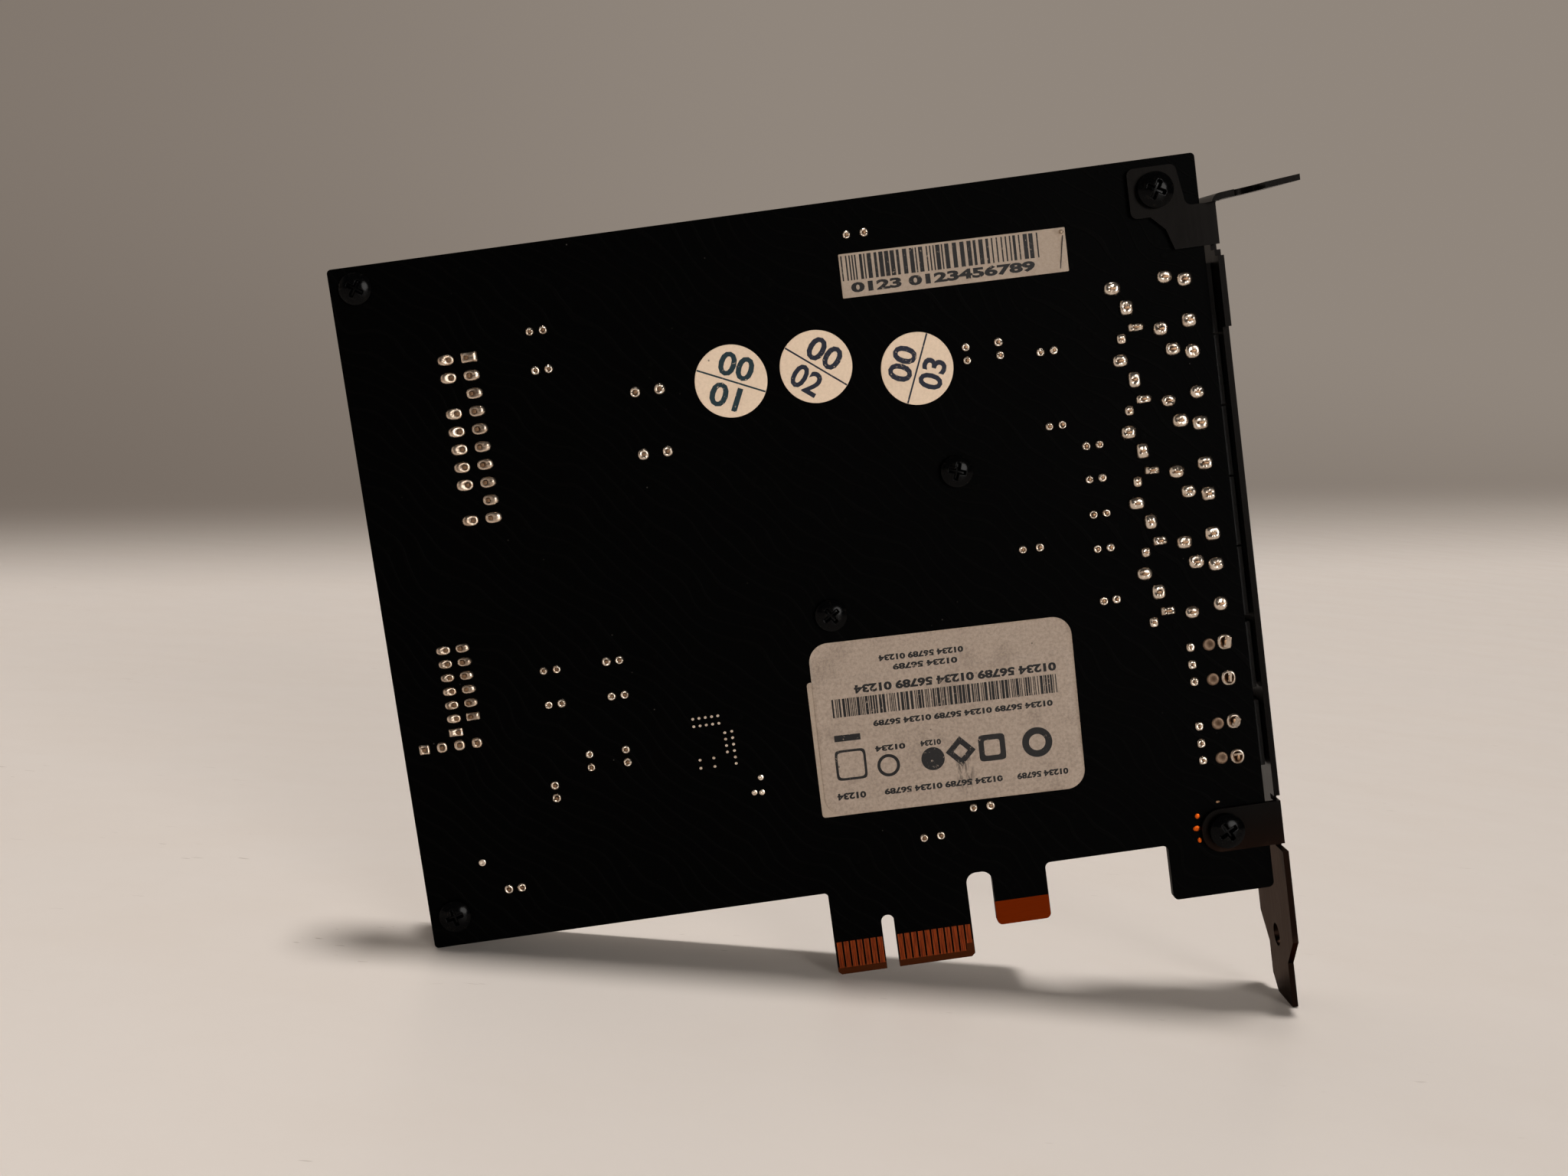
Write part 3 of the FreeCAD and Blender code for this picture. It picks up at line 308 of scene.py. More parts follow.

# %% [markdown]
# ## Gold contacts
# Contacts are gold, scratched along the way they slide into a slot. Their colour is painted reflection: the
# gold is set brown, as it looks when it mirrors a dark room, with a painted dark core and a painted bright
# rim as highlight. A rim could be modelled on each, but they stand at a pitch of one millimetre, so the part
# of X after the point already tells how far a spot is from the middle of its contact.

# %% Contact finish
GRAIN_DEPTH = 0.004
CONTACT_TINTS = (rgb(0.22, 0.033, 0.0035), rgb(0.095, 0.011, 0.0014))
PAINTED_DARK_CORE = rgb(0.035, 0.003, 0.0006)
PAINTED_RIM_HIGHLIGHT = rgb(0.33, 0.095, 0.02)

contact = Finish("contact_gold", Metallic=0.35, Specular_IOR_Level=0.1)
aside = (contact.axis("X").fraction() - 0.5).abs()
streaks = contact.noise(0.12, 4.0, contact.stretched(1.0, 1.0, 0.04))
# Painted reflection and highlight: a dark middle on each contact and a bright rim along its edges.
core = (1 - aside.fade(0.02, 0.1)) * streaks.fade(0.45, 0.6) * 0.8
tint = contact.mix(streaks.fade(0.35, 0.65), *CONTACT_TINTS)
tint = contact.mix(core, tint, PAINTED_DARK_CORE)
tint = contact.mix(aside.fade(0.28, 0.33) * 0.5, tint, PAINTED_RIM_HIGHLIGHT)
contact.feed(Base_Color=tint, Roughness=0.24 + 0.2 * streaks, Normal=contact.bump(streaks, GRAIN_DEPTH, 0.5))
finishes["gold_contact"] = contact
print("contacts:", len(contact.tree.nodes), "nodes")

# %% [markdown]
# ## The black bracket
# The bracket is folded sheet steel with a black finish that mirrors very little. Brown metal at its low end
# is painted light, and the black above it is painted shade, so the colour goes darker towards the top. Two
# materials could meet there, but one that goes over from black to metal by its height, with a cloudy border,
# has no seam.

# %% Bracket finish
BRACKET_BLACK = rgb(0.0006, 0.0005, 0.0004)
PAINTED_LIGHT_TINTS = (rgb(0.005, 0.0026, 0.0018), rgb(0.010, 0.0054, 0.0038))
PAINTED_LIGHT_BELOW = 11.0
PAINTED_SHADE_ABOVE = 20.0

bracket = Finish("bracket_dark_plate", Specular_IOR_Level=0.07, Specular_Tint=rgb(0.52, 0.47, 0.44))
lines = bracket.noise(0.22, 4.0, bracket.stretched(1.0, 1.0, 0.05))
cloud = bracket.noise(6.0, 5.0)
# Painted light and shade: brown metal at the low end, black towards the top, with a cloudy border.
wear_and_painted_light = 1 - (bracket.axis("Z") + 4 * cloud).fade(PAINTED_LIGHT_BELOW, PAINTED_SHADE_ABOVE)
brown = bracket.mix(cloud.fade(0.56, 0.68) * 0.8 + lines * 0.2, *PAINTED_LIGHT_TINTS)
finishes["bracket_metal"] = bracket.feed(
    Base_Color=bracket.mix(wear_and_painted_light, BRACKET_BLACK, brown), Metallic=wear_and_painted_light,
    Roughness=0.2 + 0.2 * lines + 0.1 * cloud, Normal=bracket.bump(lines, GRAIN_DEPTH, 0.5))
print("bracket: rubbed below", PAINTED_LIGHT_BELOW, "mm, black above", PAINTED_SHADE_ABOVE, "mm")

# %% [markdown]
# ## Black oxide
# The screws are blackened steel. The oxide is thin and smooth, so they are nearly black with small white
# glints. A metallic shader would give them a grey sheen all over, so a dark dielectric with a low roughness
# is used.

# %% Screw finish
OXIDE_TINTS = (rgb(0.0008, 0.0008, 0.0009), rgb(0.004, 0.0035, 0.003))

oxide = Finish("screw_black", Specular_IOR_Level=0.06)
scuffs = oxide.noise(0.5, 5.0)
finishes["black_steel"] = oxide.feed(
    Base_Color=oxide.mix(scuffs.fade(0.55, 0.7), *OXIDE_TINTS),
    Roughness=0.08 + 0.14 * scuffs, Normal=oxide.bump(scuffs, 0.02, 0.4))
print("screws:", len(oxide.tree.nodes), "nodes")

# %% [markdown]
# ## Plated metals
# Nuts, pins, springs, cans, cut leads and bare copper are all plain metal with a drawn or rolled grain and
# clouds of wear. They differ by their colours, by the axis of the grain and by the size of the clouds, so
# one function takes what changes between them, and a table holds it.

# %% Plated metal finishes
def plated(name, colour, worn, rough, grain, grain_size, wear_size):
    """A metal whose colour goes to the worn one in clouds, and whose roughness follows a stretched grain."""
    metal = Finish(name, Metallic=1.0)
    lines = metal.noise(grain_size, 4.0, metal.stretched(*grain))
    cloud = metal.noise(wear_size, 5.0)
    spots = cloud.fade(0.56, 0.68)
    tint = metal.mix(spots * 0.8 + lines * 0.2, colour, worn)
    roughness = rough - 0.12 + 0.2 * lines + 0.1 * cloud
    return metal.feed(Base_Color=tint, Roughness=roughness, Normal=metal.bump(lines, GRAIN_DEPTH, 0.5))


ALONG_X = (0.06, 1.0, 1.0)
ALONG_Y = (1.0, 0.1, 1.0)
DRAWN_PIN = (1.0, 0.08, 1.0)
NO_GRAIN = (1.0, 1.0, 1.0)
PLATED = {
    "plain_steel": ("nut_steel", rgb(0.46, 0.45, 0.43), rgb(0.33, 0.32, 0.30), 0.34, ALONG_Y, 0.2, 1.8),
    "pin_metal": ("pin_plating", rgb(0.70, 0.56, 0.30), rgb(0.55, 0.42, 0.20), 0.3, DRAWN_PIN, 0.15, 1.2),
    "spring_metal": ("spring_tin", rgb(0.60, 0.58, 0.54), rgb(0.42, 0.40, 0.37), 0.34, ALONG_Y, 0.2, 1.4),
    "crystal_metal": ("crystal_can", rgb(0.60, 0.59, 0.57), rgb(0.46, 0.45, 0.43), 0.3, ALONG_X, 0.2, 3.0),
    "can_metal": ("capacitor_can", rgb(0.62, 0.62, 0.61), rgb(0.48, 0.47, 0.46), 0.3, ALONG_Y, 0.15, 2.4),
    "lead_end": ("cut_lead", rgb(0.20, 0.12, 0.07), rgb(0.07, 0.035, 0.018), 0.34, NO_GRAIN, 0.2, 0.6),
    "ground_copper": ("bare_copper", rgb(0.50, 0.08, 0.007), rgb(0.26, 0.035, 0.004),
                      0.4, NO_GRAIN, 0.2, 0.8),
}
for slot_name, values in PLATED.items():
    finishes[slot_name] = plated(*values)
print("plated metals:", list(PLATED))

# %% [markdown]
# ## Solder
# Solder is bright where it froze smooth and brown where flux is left. Beside the lead the dip is darkened as
# painted shade, and no noise can know where that is. So each joint's mesh carries an attribute of its own,
# hollow, which is 1 beside the lead, and the finish goes dark brown with it as painted shade.

# %% Solder finishes
PAINTED_HOLLOW_SHADE = rgb(0.035, 0.016, 0.007)


def soldered(name, bright, flux, rough):
    """Frozen solder: flux films in clouds, and a dark brown painted shade where the piece says that it is
    hollow.
    """
    solder = Finish(name, Metallic=1.0)
    hollow = solder.attribute("hollow")
    cloud = solder.noise(0.8, 5.0)
    frozen = solder.noise(0.45, 3.0)
    tint = solder.mix(cloud.fade(0.5, 0.68) * 0.6, bright, flux)
    tint = solder.mix(hollow.fade(0.15, 0.8), tint, PAINTED_HOLLOW_SHADE)
    roughness = rough + 0.16 * cloud + 0.2 * hollow
    return solder.feed(Base_Color=tint, Roughness=roughness, Normal=solder.bump(frozen, 0.05, 0.4))


finishes["solder"] = soldered("solder", rgb(0.62, 0.53, 0.44), rgb(0.30, 0.19, 0.115), 0.17)
finishes["dull_solder"] = soldered("dull_solder", rgb(0.64, 0.52, 0.41), rgb(0.33, 0.205, 0.125), 0.2)
finishes["peg_pad"] = soldered("dull_pad", rgb(0.145, 0.098, 0.068), rgb(0.083, 0.053, 0.034), 0.4)
print("finishes so far:", len(finishes))

# %% [markdown]
# ## Moulded and painted parts
# Sockets and pin strips are black moulded plastic with a spark-eroded grain. Chips have a rougher resin,
# chip parts a matt ceramic, and the shield a satin paint with orange peel. All of these are a colour, a
# cellular grain and a faint dust, so they share one function too.

# %% Plastic, resin and paint finishes
def moulded(name, colour, dusty, rough, grain_size, grain_depth, specular):
    """A matt surface with a cellular grain, and dust that gathers in clouds."""
    skin = Finish(name, Specular_IOR_Level=specular)
    grain = skin.cells(grain_size)
    cloud = skin.noise(7.0, 5.0)
    tint = skin.mix(cloud.fade(0.45, 0.75) * 0.6 + grain * 0.15, colour, dusty)
    roughness = rough + 0.15 * (cloud - 0.5)
    return skin.feed(Base_Color=tint, Roughness=roughness, Normal=skin.bump(grain, grain_depth, 0.45))


MOULDED = {
    "socket_plastic": ("socket_black", rgb(0.009, 0.009, 0.0095), rgb(0.018, 0.017, 0.016),
                       0.42, 0.16, 0.012, 0.3),
    "optical_resin": ("optical_block", rgb(0.020, 0.018, 0.022), rgb(0.03, 0.028, 0.03),
                      0.25, 0.3, 0.004, 0.5),
    "chip_resin": ("chip_resin", rgb(0.016, 0.016, 0.017), rgb(0.034, 0.033, 0.032), 0.62, 0.1, 0.01, 0.4),
    "chip_ceramic": ("chip_ceramic", rgb(0.10, 0.09, 0.08), rgb(0.17, 0.15, 0.13), 0.5, 0.1, 0.006, 0.4),
    "shield_paint": ("shield_satin_black", rgb(0.011, 0.011, 0.012), rgb(0.024, 0.023, 0.022),
                     0.4, 0.5, 0.012, 0.4),
}
for slot_name, values in MOULDED.items():
    finishes[slot_name] = moulded(*values)
print("moulded and painted:", list(MOULDED))

# %% [markdown]
# ## Label stock
# The large label is silver-grey film, mottled and smudged by handling, with one worn patch. The strip and
# the round stickers are paper. A flat colour would look like plastic, so fine mottling changes both colour
# and gloss.

# %% Label stock finishes
FILM = rgb(0.395, 0.312, 0.248)
PAPER = rgb(0.395, 0.315, 0.248)
STICKER = rgb(0.780, 0.615, 0.465)
SPECK = rgb(0.05, 0.035, 0.025)
WORN_FILM = rgb(0.075, 0.055, 0.042)
SCUFF = (14.0, 28.0, 1.6, 4.2)


def label_stock(name, colour, soiled, rough, scuff=None):
    """Stock with fine mottling, broad smudges and a few dark specks.

    scuff is a worn patch on it: an ellipse given by X, Z and half sizes, in which a streaky noise shows."""
    stock = Finish(name, Specular_IOR_Level=0.3)
    mottle = stock.noise(0.45, 8.0, None, 0.8)
    smudge = stock.noise(6.0, 4.0).fade(0.5, 0.72)
    speck = (1 - stock.cells(3.1).fade(0.03, 0.06)) * stock.noise(4.0).fade(0.5, 0.56)
    tint = stock.mix(mottle.fade(0.36, 0.66) * 0.65 + smudge * 0.35, colour, soiled)
    tint = stock.mix(speck * 0.8, tint, SPECK)
    if scuff:
        scuff_x, scuff_z, half_x, half_z = scuff
        aside = (stock.axis("X") - scuff_x) * (1 / half_x)
        along = (stock.axis("Z") - scuff_z) * (1 / half_z)
        near = 1 - (aside * aside + along * along).fade(0.1, 1.0)
        rub = stock.noise(0.5, 5.0, stock.stretched(1.0, 1.0, 0.25)).fade(0.46, 0.6)
        tint = stock.mix(near * rub * 0.8, tint, WORN_FILM)
    roughness = rough + 0.2 * (mottle - 0.5)
    return stock.feed(Base_Color=tint, Roughness=roughness, Normal=stock.bump(mottle, 0.02, 0.35))


finishes["label_foil"] = label_stock("label_film", FILM, rgb(0.200, 0.152, 0.117), 0.5, SCUFF)
finishes["label_paper"] = label_stock("label_paper", PAPER, rgb(0.29, 0.222, 0.168), 0.62)
finishes["sticker_paper"] = label_stock("sticker_paper", STICKER, rgb(0.65, 0.50, 0.365), 0.6)
print("label stock:", len(finishes["label_foil"].tree.nodes), "nodes with the worn patch")

# %% [markdown]
# ## Ink
# Print sits on the labels as thin pieces of its own, which keeps its edges sharp at any distance. Where it
# has been worn off, its finish simply takes the colour of the stock below.

# %% Ink finishes
INK_BLACK = rgb(0.003, 0.002, 0.002)
INK_TEAL = rgb(0.002, 0.020, 0.028)
INK_NAVY = rgb(0.003, 0.006, 0.020)


def label_ink(name, colour, stock_colour):
    """Ink that is worn through to the stock in small patches."""
    ink = Finish(name, Specular_IOR_Level=0.25)
    wear_and_painted_light = ink.noise(0.4, 5.0, None, 0.65).fade(0.6, 0.68) * ink.noise(4.5).fade(0.45, 0.6)
    return ink.feed(Base_Color=ink.mix(wear_and_painted_light * 0.85, colour, stock_colour), Roughness=0.5 + 0.2 * wear_and_painted_light)


finishes["film_ink"] = label_ink("film_ink", INK_BLACK, FILM)
finishes["paper_ink"] = label_ink("paper_ink", INK_BLACK, PAPER)
finishes["teal_ink"] = label_ink("teal_ink", INK_TEAL, STICKER)
finishes["navy_ink"] = label_ink("navy_ink", INK_NAVY, STICKER)
print("finishes in all:", len(finishes))

# %% [markdown]
# ## Dressing the solids
# A solid whose shape is right keeps its mesh and only gets a better finish in its slot. The record says
# which slot belongs to which solid, so no list of nodes is needed here.

# %% Finishes for the solids
slot_of_node = {}
for node_name, node_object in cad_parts.items():
    slot_name = node_object.material_slots[0].material.name.split(".")[0]
    slot_of_node[node_name] = slot_name
    node_object.material_slots[0].material = finishes[slot_name].material
print("dressed:", len(slot_of_node), "solids in", len(set(slot_of_node.values())), "finishes")

# %% [markdown]
# ## New pieces from arrays
# Blender can build a mesh from lists, point by point, but whole numpy arrays are faster to write and
# shorter to read. One function writes them into a mesh, marks the sharp edges and tells the frame where the
# piece belongs.

# %% Write a piece
def point_values(mesh, name, values):
    """Give each point of a mesh a value, under a name that a finish can read."""
    mesh.attributes.new(name, "FLOAT", "POINT").data.foreach_set("value", values.astype(np.float32))


def write_piece(name, corners, quads, triangles, finish, crease=50.0, hollow=None):
    """One object at the origin from corner points in millimetres and the corners of its faces."""
    mesh = bpy.data.meshes.new(name)
    counts = np.concatenate([np.full(len(quads), 4), np.full(len(triangles), 3)])
    loops = np.concatenate([quads.ravel(), triangles.ravel()])
    mesh.vertices.add(len(corners))
    mesh.vertices.foreach_set("co", (corners * MM).astype(np.float32).ravel())
    mesh.loops.add(len(loops))
    mesh.loops.foreach_set("vertex_index", loops.astype(np.int32))
    mesh.polygons.add(len(counts))
    mesh.polygons.foreach_set("loop_start", (np.cumsum(counts) - counts).astype(np.int32))
    mesh.polygons.foreach_set("use_smooth", np.ones(len(counts), dtype=bool))
    mesh.update(calc_edges=True)
    mesh.validate()
    mesh.set_sharp_from_angle(angle=math.radians(crease))
    if hollow is not None:
        point_values(mesh, "hollow", hollow)
    piece = bpy.data.objects.new(name, mesh)
    bpy.context.scene.collection.objects.link(piece)
    mesh.materials.append(finishes[finish].material)
    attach(piece, BODY)
    print(name, "-", len(counts), "faces")
    return piece


print("every new piece rides on", BODY)

# %% [markdown]
# ## Pieces as rings
# Solder joints, screw heads, stickers and capacitor cans have one thing in common: they are stacks of rings
# around an axis. So one function takes an array of ring points for any number of copies and closes both
# ends by a fan. The sign of the enclosed volume tells which way the faces turn.

# %% Faces of rings
def quads_between(first_row, next_row, around):
    """Quads from each ring to the next; the rows hold the number of the first point of each ring."""
    here = np.arange(around)
    after = (here + 1) % around
    row = first_row[:, None]
    beyond = next_row[:, None]
    return np.stack([row + here, row + after, beyond + after, beyond + here], axis=-1).reshape(-1, 4)


def volume(corners, quads, triangles):
    """Six times the volume inside closed faces: the sum of each triangle's box product."""
    halves = np.concatenate([quads[:, [0, 1, 2]], quads[:, [0, 2, 3]], triangles])
    a, b, c = (corners[halves[:, i]] for i in range(3))
    return np.einsum("ij,ij->i", a, np.cross(b, c)).sum()


def faces_of_copies(corners, quads, triangles):
    """Faces of all copies, corners[copy, number], turned round if they enclose a negative volume."""
    if volume(corners[0] - corners[0].mean(axis=0), quads, triangles) < 0:
        quads = quads[:, ::-1]
        triangles = triangles[:, ::-1]
    shift = np.arange(len(corners))[:, None, None] * corners.shape[1]
    return (quads + shift).reshape(-1, 4), (triangles + shift).reshape(-1, 3)


print("two rings of four points give", len(quads_between(np.array([0]), np.array([4]), 4)), "quads")

# %% [markdown]
# ## Closed stacks of rings
# Quads alone leave both ends of a stack open. Each end gets one more point, the middle of its ring, and a
# fan of triangles to it. Round and squarish outlines both come from one curve with an exponent.

# %% Ring pieces
def ring_piece(name, points, finish, crease=50.0, hollow=None):
    """A piece from rings, points[copy, ring, step around].

    Each copy is closed at its first and last ring by a fan to that ring's middle point."""
    copies, rings, around, _ = points.shape
    corners = np.concatenate([points.reshape(copies, -1, 3), points[:, [0, -1]].mean(axis=2)], axis=1)
    if hollow is not None:
        middles = hollow[:, [0, -1]].mean(axis=2)
        hollow = np.concatenate([hollow.reshape(copies, -1), middles], axis=1).ravel()
    rows = np.arange(rings) * around
    quads = quads_between(rows[:-1], rows[1:], around)
    here = np.arange(around)
    after = (here + 1) % around
    low_fan = np.stack([after, here, np.full(around, rings * around)], axis=-1)
    high_fan = np.stack([rows[-1] + here, rows[-1] + after, np.full(around, rings * around + 1)], axis=-1)
    quads, triangles = faces_of_copies(corners, quads, np.concatenate([low_fan, high_fan]))
    return write_piece(name, corners.reshape(-1, 3), quads, triangles, finish, crease, hollow)


def circle(around, exponent=2.0):
    """Unit outline as cosine and sine, drawn out towards a square as n in |x|^n + |z|^n = 1 grows."""
    angle = 2 * np.pi * np.arange(around) / around
    cosine = np.cos(angle)
    sine = np.sin(angle)
    power = np.asarray(exponent, dtype=float)[..., None]
    size = (np.abs(cosine) ** power + np.abs(sine) ** power) ** (-1 / power)
    return size * cosine, size * sine


print("a squarish outline reaches", np.round(circle(8, 8.0)[0][1], 3), "at its corner")

# %% [markdown]
# ## Reading places from the solids
# A node of the frame can hold many solids, such as all joints of the jacks. Their places could be typed in
# again, but then they would not follow the solids. So corners that triangles join are gathered into solids.

# %% Solids of a node
def read_mesh(mesh):
    """Corner points and triangles of a mesh, as two arrays."""
    points = np.empty(len(mesh.vertices) * 3)
    mesh.vertices.foreach_get("co", points)
    mesh.calc_loop_triangles()
    triangles = np.empty(len(mesh.loop_triangles) * 3, dtype=np.int32)
    mesh.loop_triangles.foreach_get("vertices", triangles)
    return points.reshape(-1, 3), triangles.reshape(-1, 3)


def solids_of(node):
    """The separate solids of a CAD node, each as its corner points in millimetres.

    Corners at one place share a number. Each triangle gives its lowest number to its corners until none
    changes."""
    points, triangles = read_mesh(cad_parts[node].data)
    places, corner = np.unique(np.round(points / MM, 3), axis=0, return_inverse=True)
    triangles = corner.ravel()[triangles]
    mark = np.arange(len(places))
    settled = False
    while not settled:
        spread = mark.copy()
        np.minimum.at(spread, triangles, mark[triangles].min(axis=1)[:, None])
        settled = (spread == mark).all()
        mark = spread
    return [places[mark == number] for number in np.unique(mark)]


def boxes_of(node):
    """Lowest and highest corners of all solids of a node, as two arrays."""
    solids = solids_of(node)
    return np.array([p.min(axis=0) for p in solids]), np.array([p.max(axis=0) for p in solids])


print("solids of the jack joints:", len(solids_of("jack_solder_joints")))

# %% [markdown]
# ## The surface of a solder joint
# A joint is solder that wetted a pad and froze around the end of a lead. On the jacks it heaps up into
# lumps, on the small capacitors it sinks back into a ring, and on the headers it lies as a long shallow
# dish with the pin to one side. All are the same surface: a rounded outline, a height that rises from the
# rim, and a dip around the lead. So one formula makes them all, with arrays of values for many joints at
# once.

# %% Joint surface
AROUND = 40
RINGS = 14
SUNK = 0.02
dice = np.random.default_rng(11)


def between(low, high, count):
    """So many values drawn evenly between two."""
    return dice.uniform(low, high, count)


def joint_rings(middle, half, height, dip, dip_size, off, squareness, waist, lumps, dish=0.0):
    """Rings of many joints at once, from under the rim to the middle, and how hollow each point is.

    At the share t of the outline the height is h (1 - t^3)^0.6, less a bell-shaped dip around the lead, whose
    place is off to one side. lumps adds three slow waves around the joint that die away towards the rim and
    the middle. Painted shade darkens the bell, more where the dip is deeper, and by the share dish also all
    that lies inside the rim."""
    share = np.concatenate([[1.0], np.cos(np.linspace(0.0, np.pi / 2, RINGS))])[None, :, None]
    share = np.maximum(share, 0.05)
    cosine, sine = circle(AROUND, squareness)
    pinch = 1 - waist[:, None] * (1 - cosine ** 2)
    across = half[:, 0, None] * cosine
    along = half[:, 1, None] * sine * pinch
    phase = dice.uniform(0, 2 * np.pi, (3, len(middle), 1, 1))
    angle = (2 * np.pi * np.arange(AROUND) / AROUND)[None, None, :]
    wave = sum(np.sin((order + 2) * angle + phase[order]) for order in range(3)) / 3
    from_lead = np.hypot(share * across[:, None] - (off * half)[:, 0, None, None],
                         share * along[:, None] - (off * half)[:, 1, None, None])
    bell = np.exp(-(from_lead / (dip_size * half.min(axis=1))[:, None, None]) ** 2)
    rise = (1 - share ** 3) ** 0.6
    rise = rise * (1 - dip[:, None, None] * bell)
    rise = height[:, None, None] * rise * (1 + lumps[:, None, None] * wave * share * (1 - share) * 4)
    rise[:, 0] = -SUNK
    spill = 1 + lumps[:, None, None] * 0.22 * wave * share
    points = np.stack([
        middle[:, 0, None, None] + share * across[:, None] * spill,
        SOLDER_FACE - rise,
        middle[:, 1, None, None] + share * along[:, None] * spill,
    ], axis=-1)
    # The darkening in the dip is painted shade, stronger where the dip is deeper.
    hollow_shade_strength = np.clip(2.2 * dip, 0.35, 1.0) * dice.uniform(0.6, 1.0, len(middle))
    inside = np.broadcast_to(dish, len(middle))[:, None, None] * (1 - np.clip((share - 0.6) / 0.3, 0, 1))
    return points, np.maximum(bell ** 1.5 * hollow_shade_strength[:, None, None], inside)


print("a joint has", AROUND * (RINGS + 1), "points")

# %% [markdown]
# ## Where joints and leads stand
# The middle and half sizes of each joint come from its solid: the corners of a regular polygon on an
# ellipse have a mean square of half the half size squared. The end of the lead is a short rounded bar that
# was cut off, and it is its own piece because it has another finish.

# %% Footprints and leads
LEAD_CREASE = 30.0


def footprints(node):
    """Middle and half sizes (X, Z) of every joint of a node, as two arrays."""
    middles = []
    halves = []
    for points in solids_of(node):
        foot = points[points[:, 1] > points[:, 1].mean()][:, [0, 2]]
        middles.append(foot.mean(axis=0))
        halves.append(np.sqrt(2 * ((foot - foot.mean(axis=0)) ** 2).mean(axis=0)))
    return np.array(middles), np.array(halves)


def joint_piece(name, node, finish, points, hollow):
    """Finer joints in place of a node's plain ones."""
    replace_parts(ring_piece(name, points, finish, hollow=hollow), node)


def lead_piece(name, middle, half, tip, squareness):
    """Cut lead ends: rounded bars from the board face to the tip, with their edge taken off."""
    cosine, sine = circle(16, np.full(len(middle), squareness))
    scale = np.array([1.0, 1.0, 0.82, 0.45])[None, :, None]
    foot = np.zeros(len(middle))
    levels = np.stack([foot, tip - 0.05, tip, tip + 0.01], axis=1)[:, :, None]
    points = np.stack([
        middle[:, 0, None, None] + scale * (half[:, 0, None] * cosine)[:, None],
        SOLDER_FACE - levels + 0 * cosine[:, None],
        middle[:, 1, None, None] + scale * (half[:, 1, None] * sine)[:, None],
    ], axis=-1)
    ring_piece(name, points, "lead_end", LEAD_CREASE)


print("joints on the solder side:", sum(len(footprints(f"{kind}_solder_joints")[0])
                                        for kind in ("jack", "optical", "header", "capacitor")))

# %% [markdown]
# ## Jack joints
# The jacks' joints are the fattest, and they differ by the row in which they stand. A row is told by its
# place across the board, so a small table gives each place its own width, height and waist.

# %% Jack joints
# X on the board, size across and up against the solid's, and how far the joint is waisted.
JACK_SHAPES = np.array([
    [43.3, 1.10, 0.92, 0.00], [43.8, 0.66, 0.80, 0.10], [45.0, 0.90, 1.14, 0.05], [46.0, 1.04, 0.85, 0.30],
    [49.5, 1.05, 0.92, 0.00], [50.9, 1.06, 0.94, 0.00], [53.7, 1.06, 1.04, 0.05],
])
SMALL_JOINT = 0.9
middle, half = footprints("jack_solder_joints")
count = len(middle)
shape = JACK_SHAPES[np.abs(middle[:, :1] - JACK_SHAPES[:, 0]).argmin(axis=1)]
half = half * shape[:, 1:3] * dice.uniform(0.95, 1.04, (count, 2))
tall = between(0.62, 0.86, count) * np.where(half.min(axis=1) < SMALL_JOINT, 0.8, 1.0)
points, hollow = joint_rings(
    middle, half, tall, dip=between(0.12, 0.45, count), dip_size=between(0.34, 0.52, count),
    off=dice.uniform(-0.22, 0.22, (count, 2)), squareness=between(2.2, 3.3, count), waist=shape[:, 3],
    lumps=between(0.10, 0.28, count))
joint_piece("jack_joints", "jack_solder_joints", "solder", points, hollow)
lead_half = half * np.array([0.42, 0.17]) * dice.uniform(0.85, 1.15, (count, 2))
lead_piece("jack_lead_ends", middle, lead_half, tall * between(0.98, 1.12, count), 5.0)

# %% [markdown]
# ## Joints of the optical sockets
# Each optical socket has small joints for its leads, and two large hollow ones nearer the bracket, where a
# tab comes through. Both kinds are in one node, so a mask on X picks the values.

# %% Optical joints
TABS_FROM = 52.0
middle, half = footprints("optical_solder_joints")
count = len(middle)
tabs = middle[:, 0] > TABS_FROM
half = half * np.where(tabs, 1.36, 0.84)[:, None] * np.array([1.0, 1.06])
points, hollow = joint_rings(
    middle, half, np.where(tabs, 0.75, 0.5), dip=np.where(tabs, 0.8, between(0.3, 0.6, count)),
    dip_size=np.where(tabs, 0.8, between(0.4, 0.6, count)), off=dice.uniform(-0.2, 0.2, (count, 2)),
    squareness=between(2.2, 3.2, count), waist=np.zeros(count), lumps=between(0.1, 0.24, count),
    dish=np.where(tabs, 0.8, 0.0))
joint_piece("optical_joints", "optical_solder_joints", "solder", points, hollow)
lead_half = half * np.where(tabs, 0.4, 0.34)[:, None] * np.array([0.5, 1.0])
lead_piece("optical_lead_ends", middle, lead_half, np.where(tabs, 0.7, 0.6), 5.0)

# %% [markdown]
# ## Bent tabs
# The tabs that hold the optical sockets were bent over by hand, so no two lie alike. Each is a small flat
# plate, turned on the board and lifted at one side, and a table of four rows gives what differs.

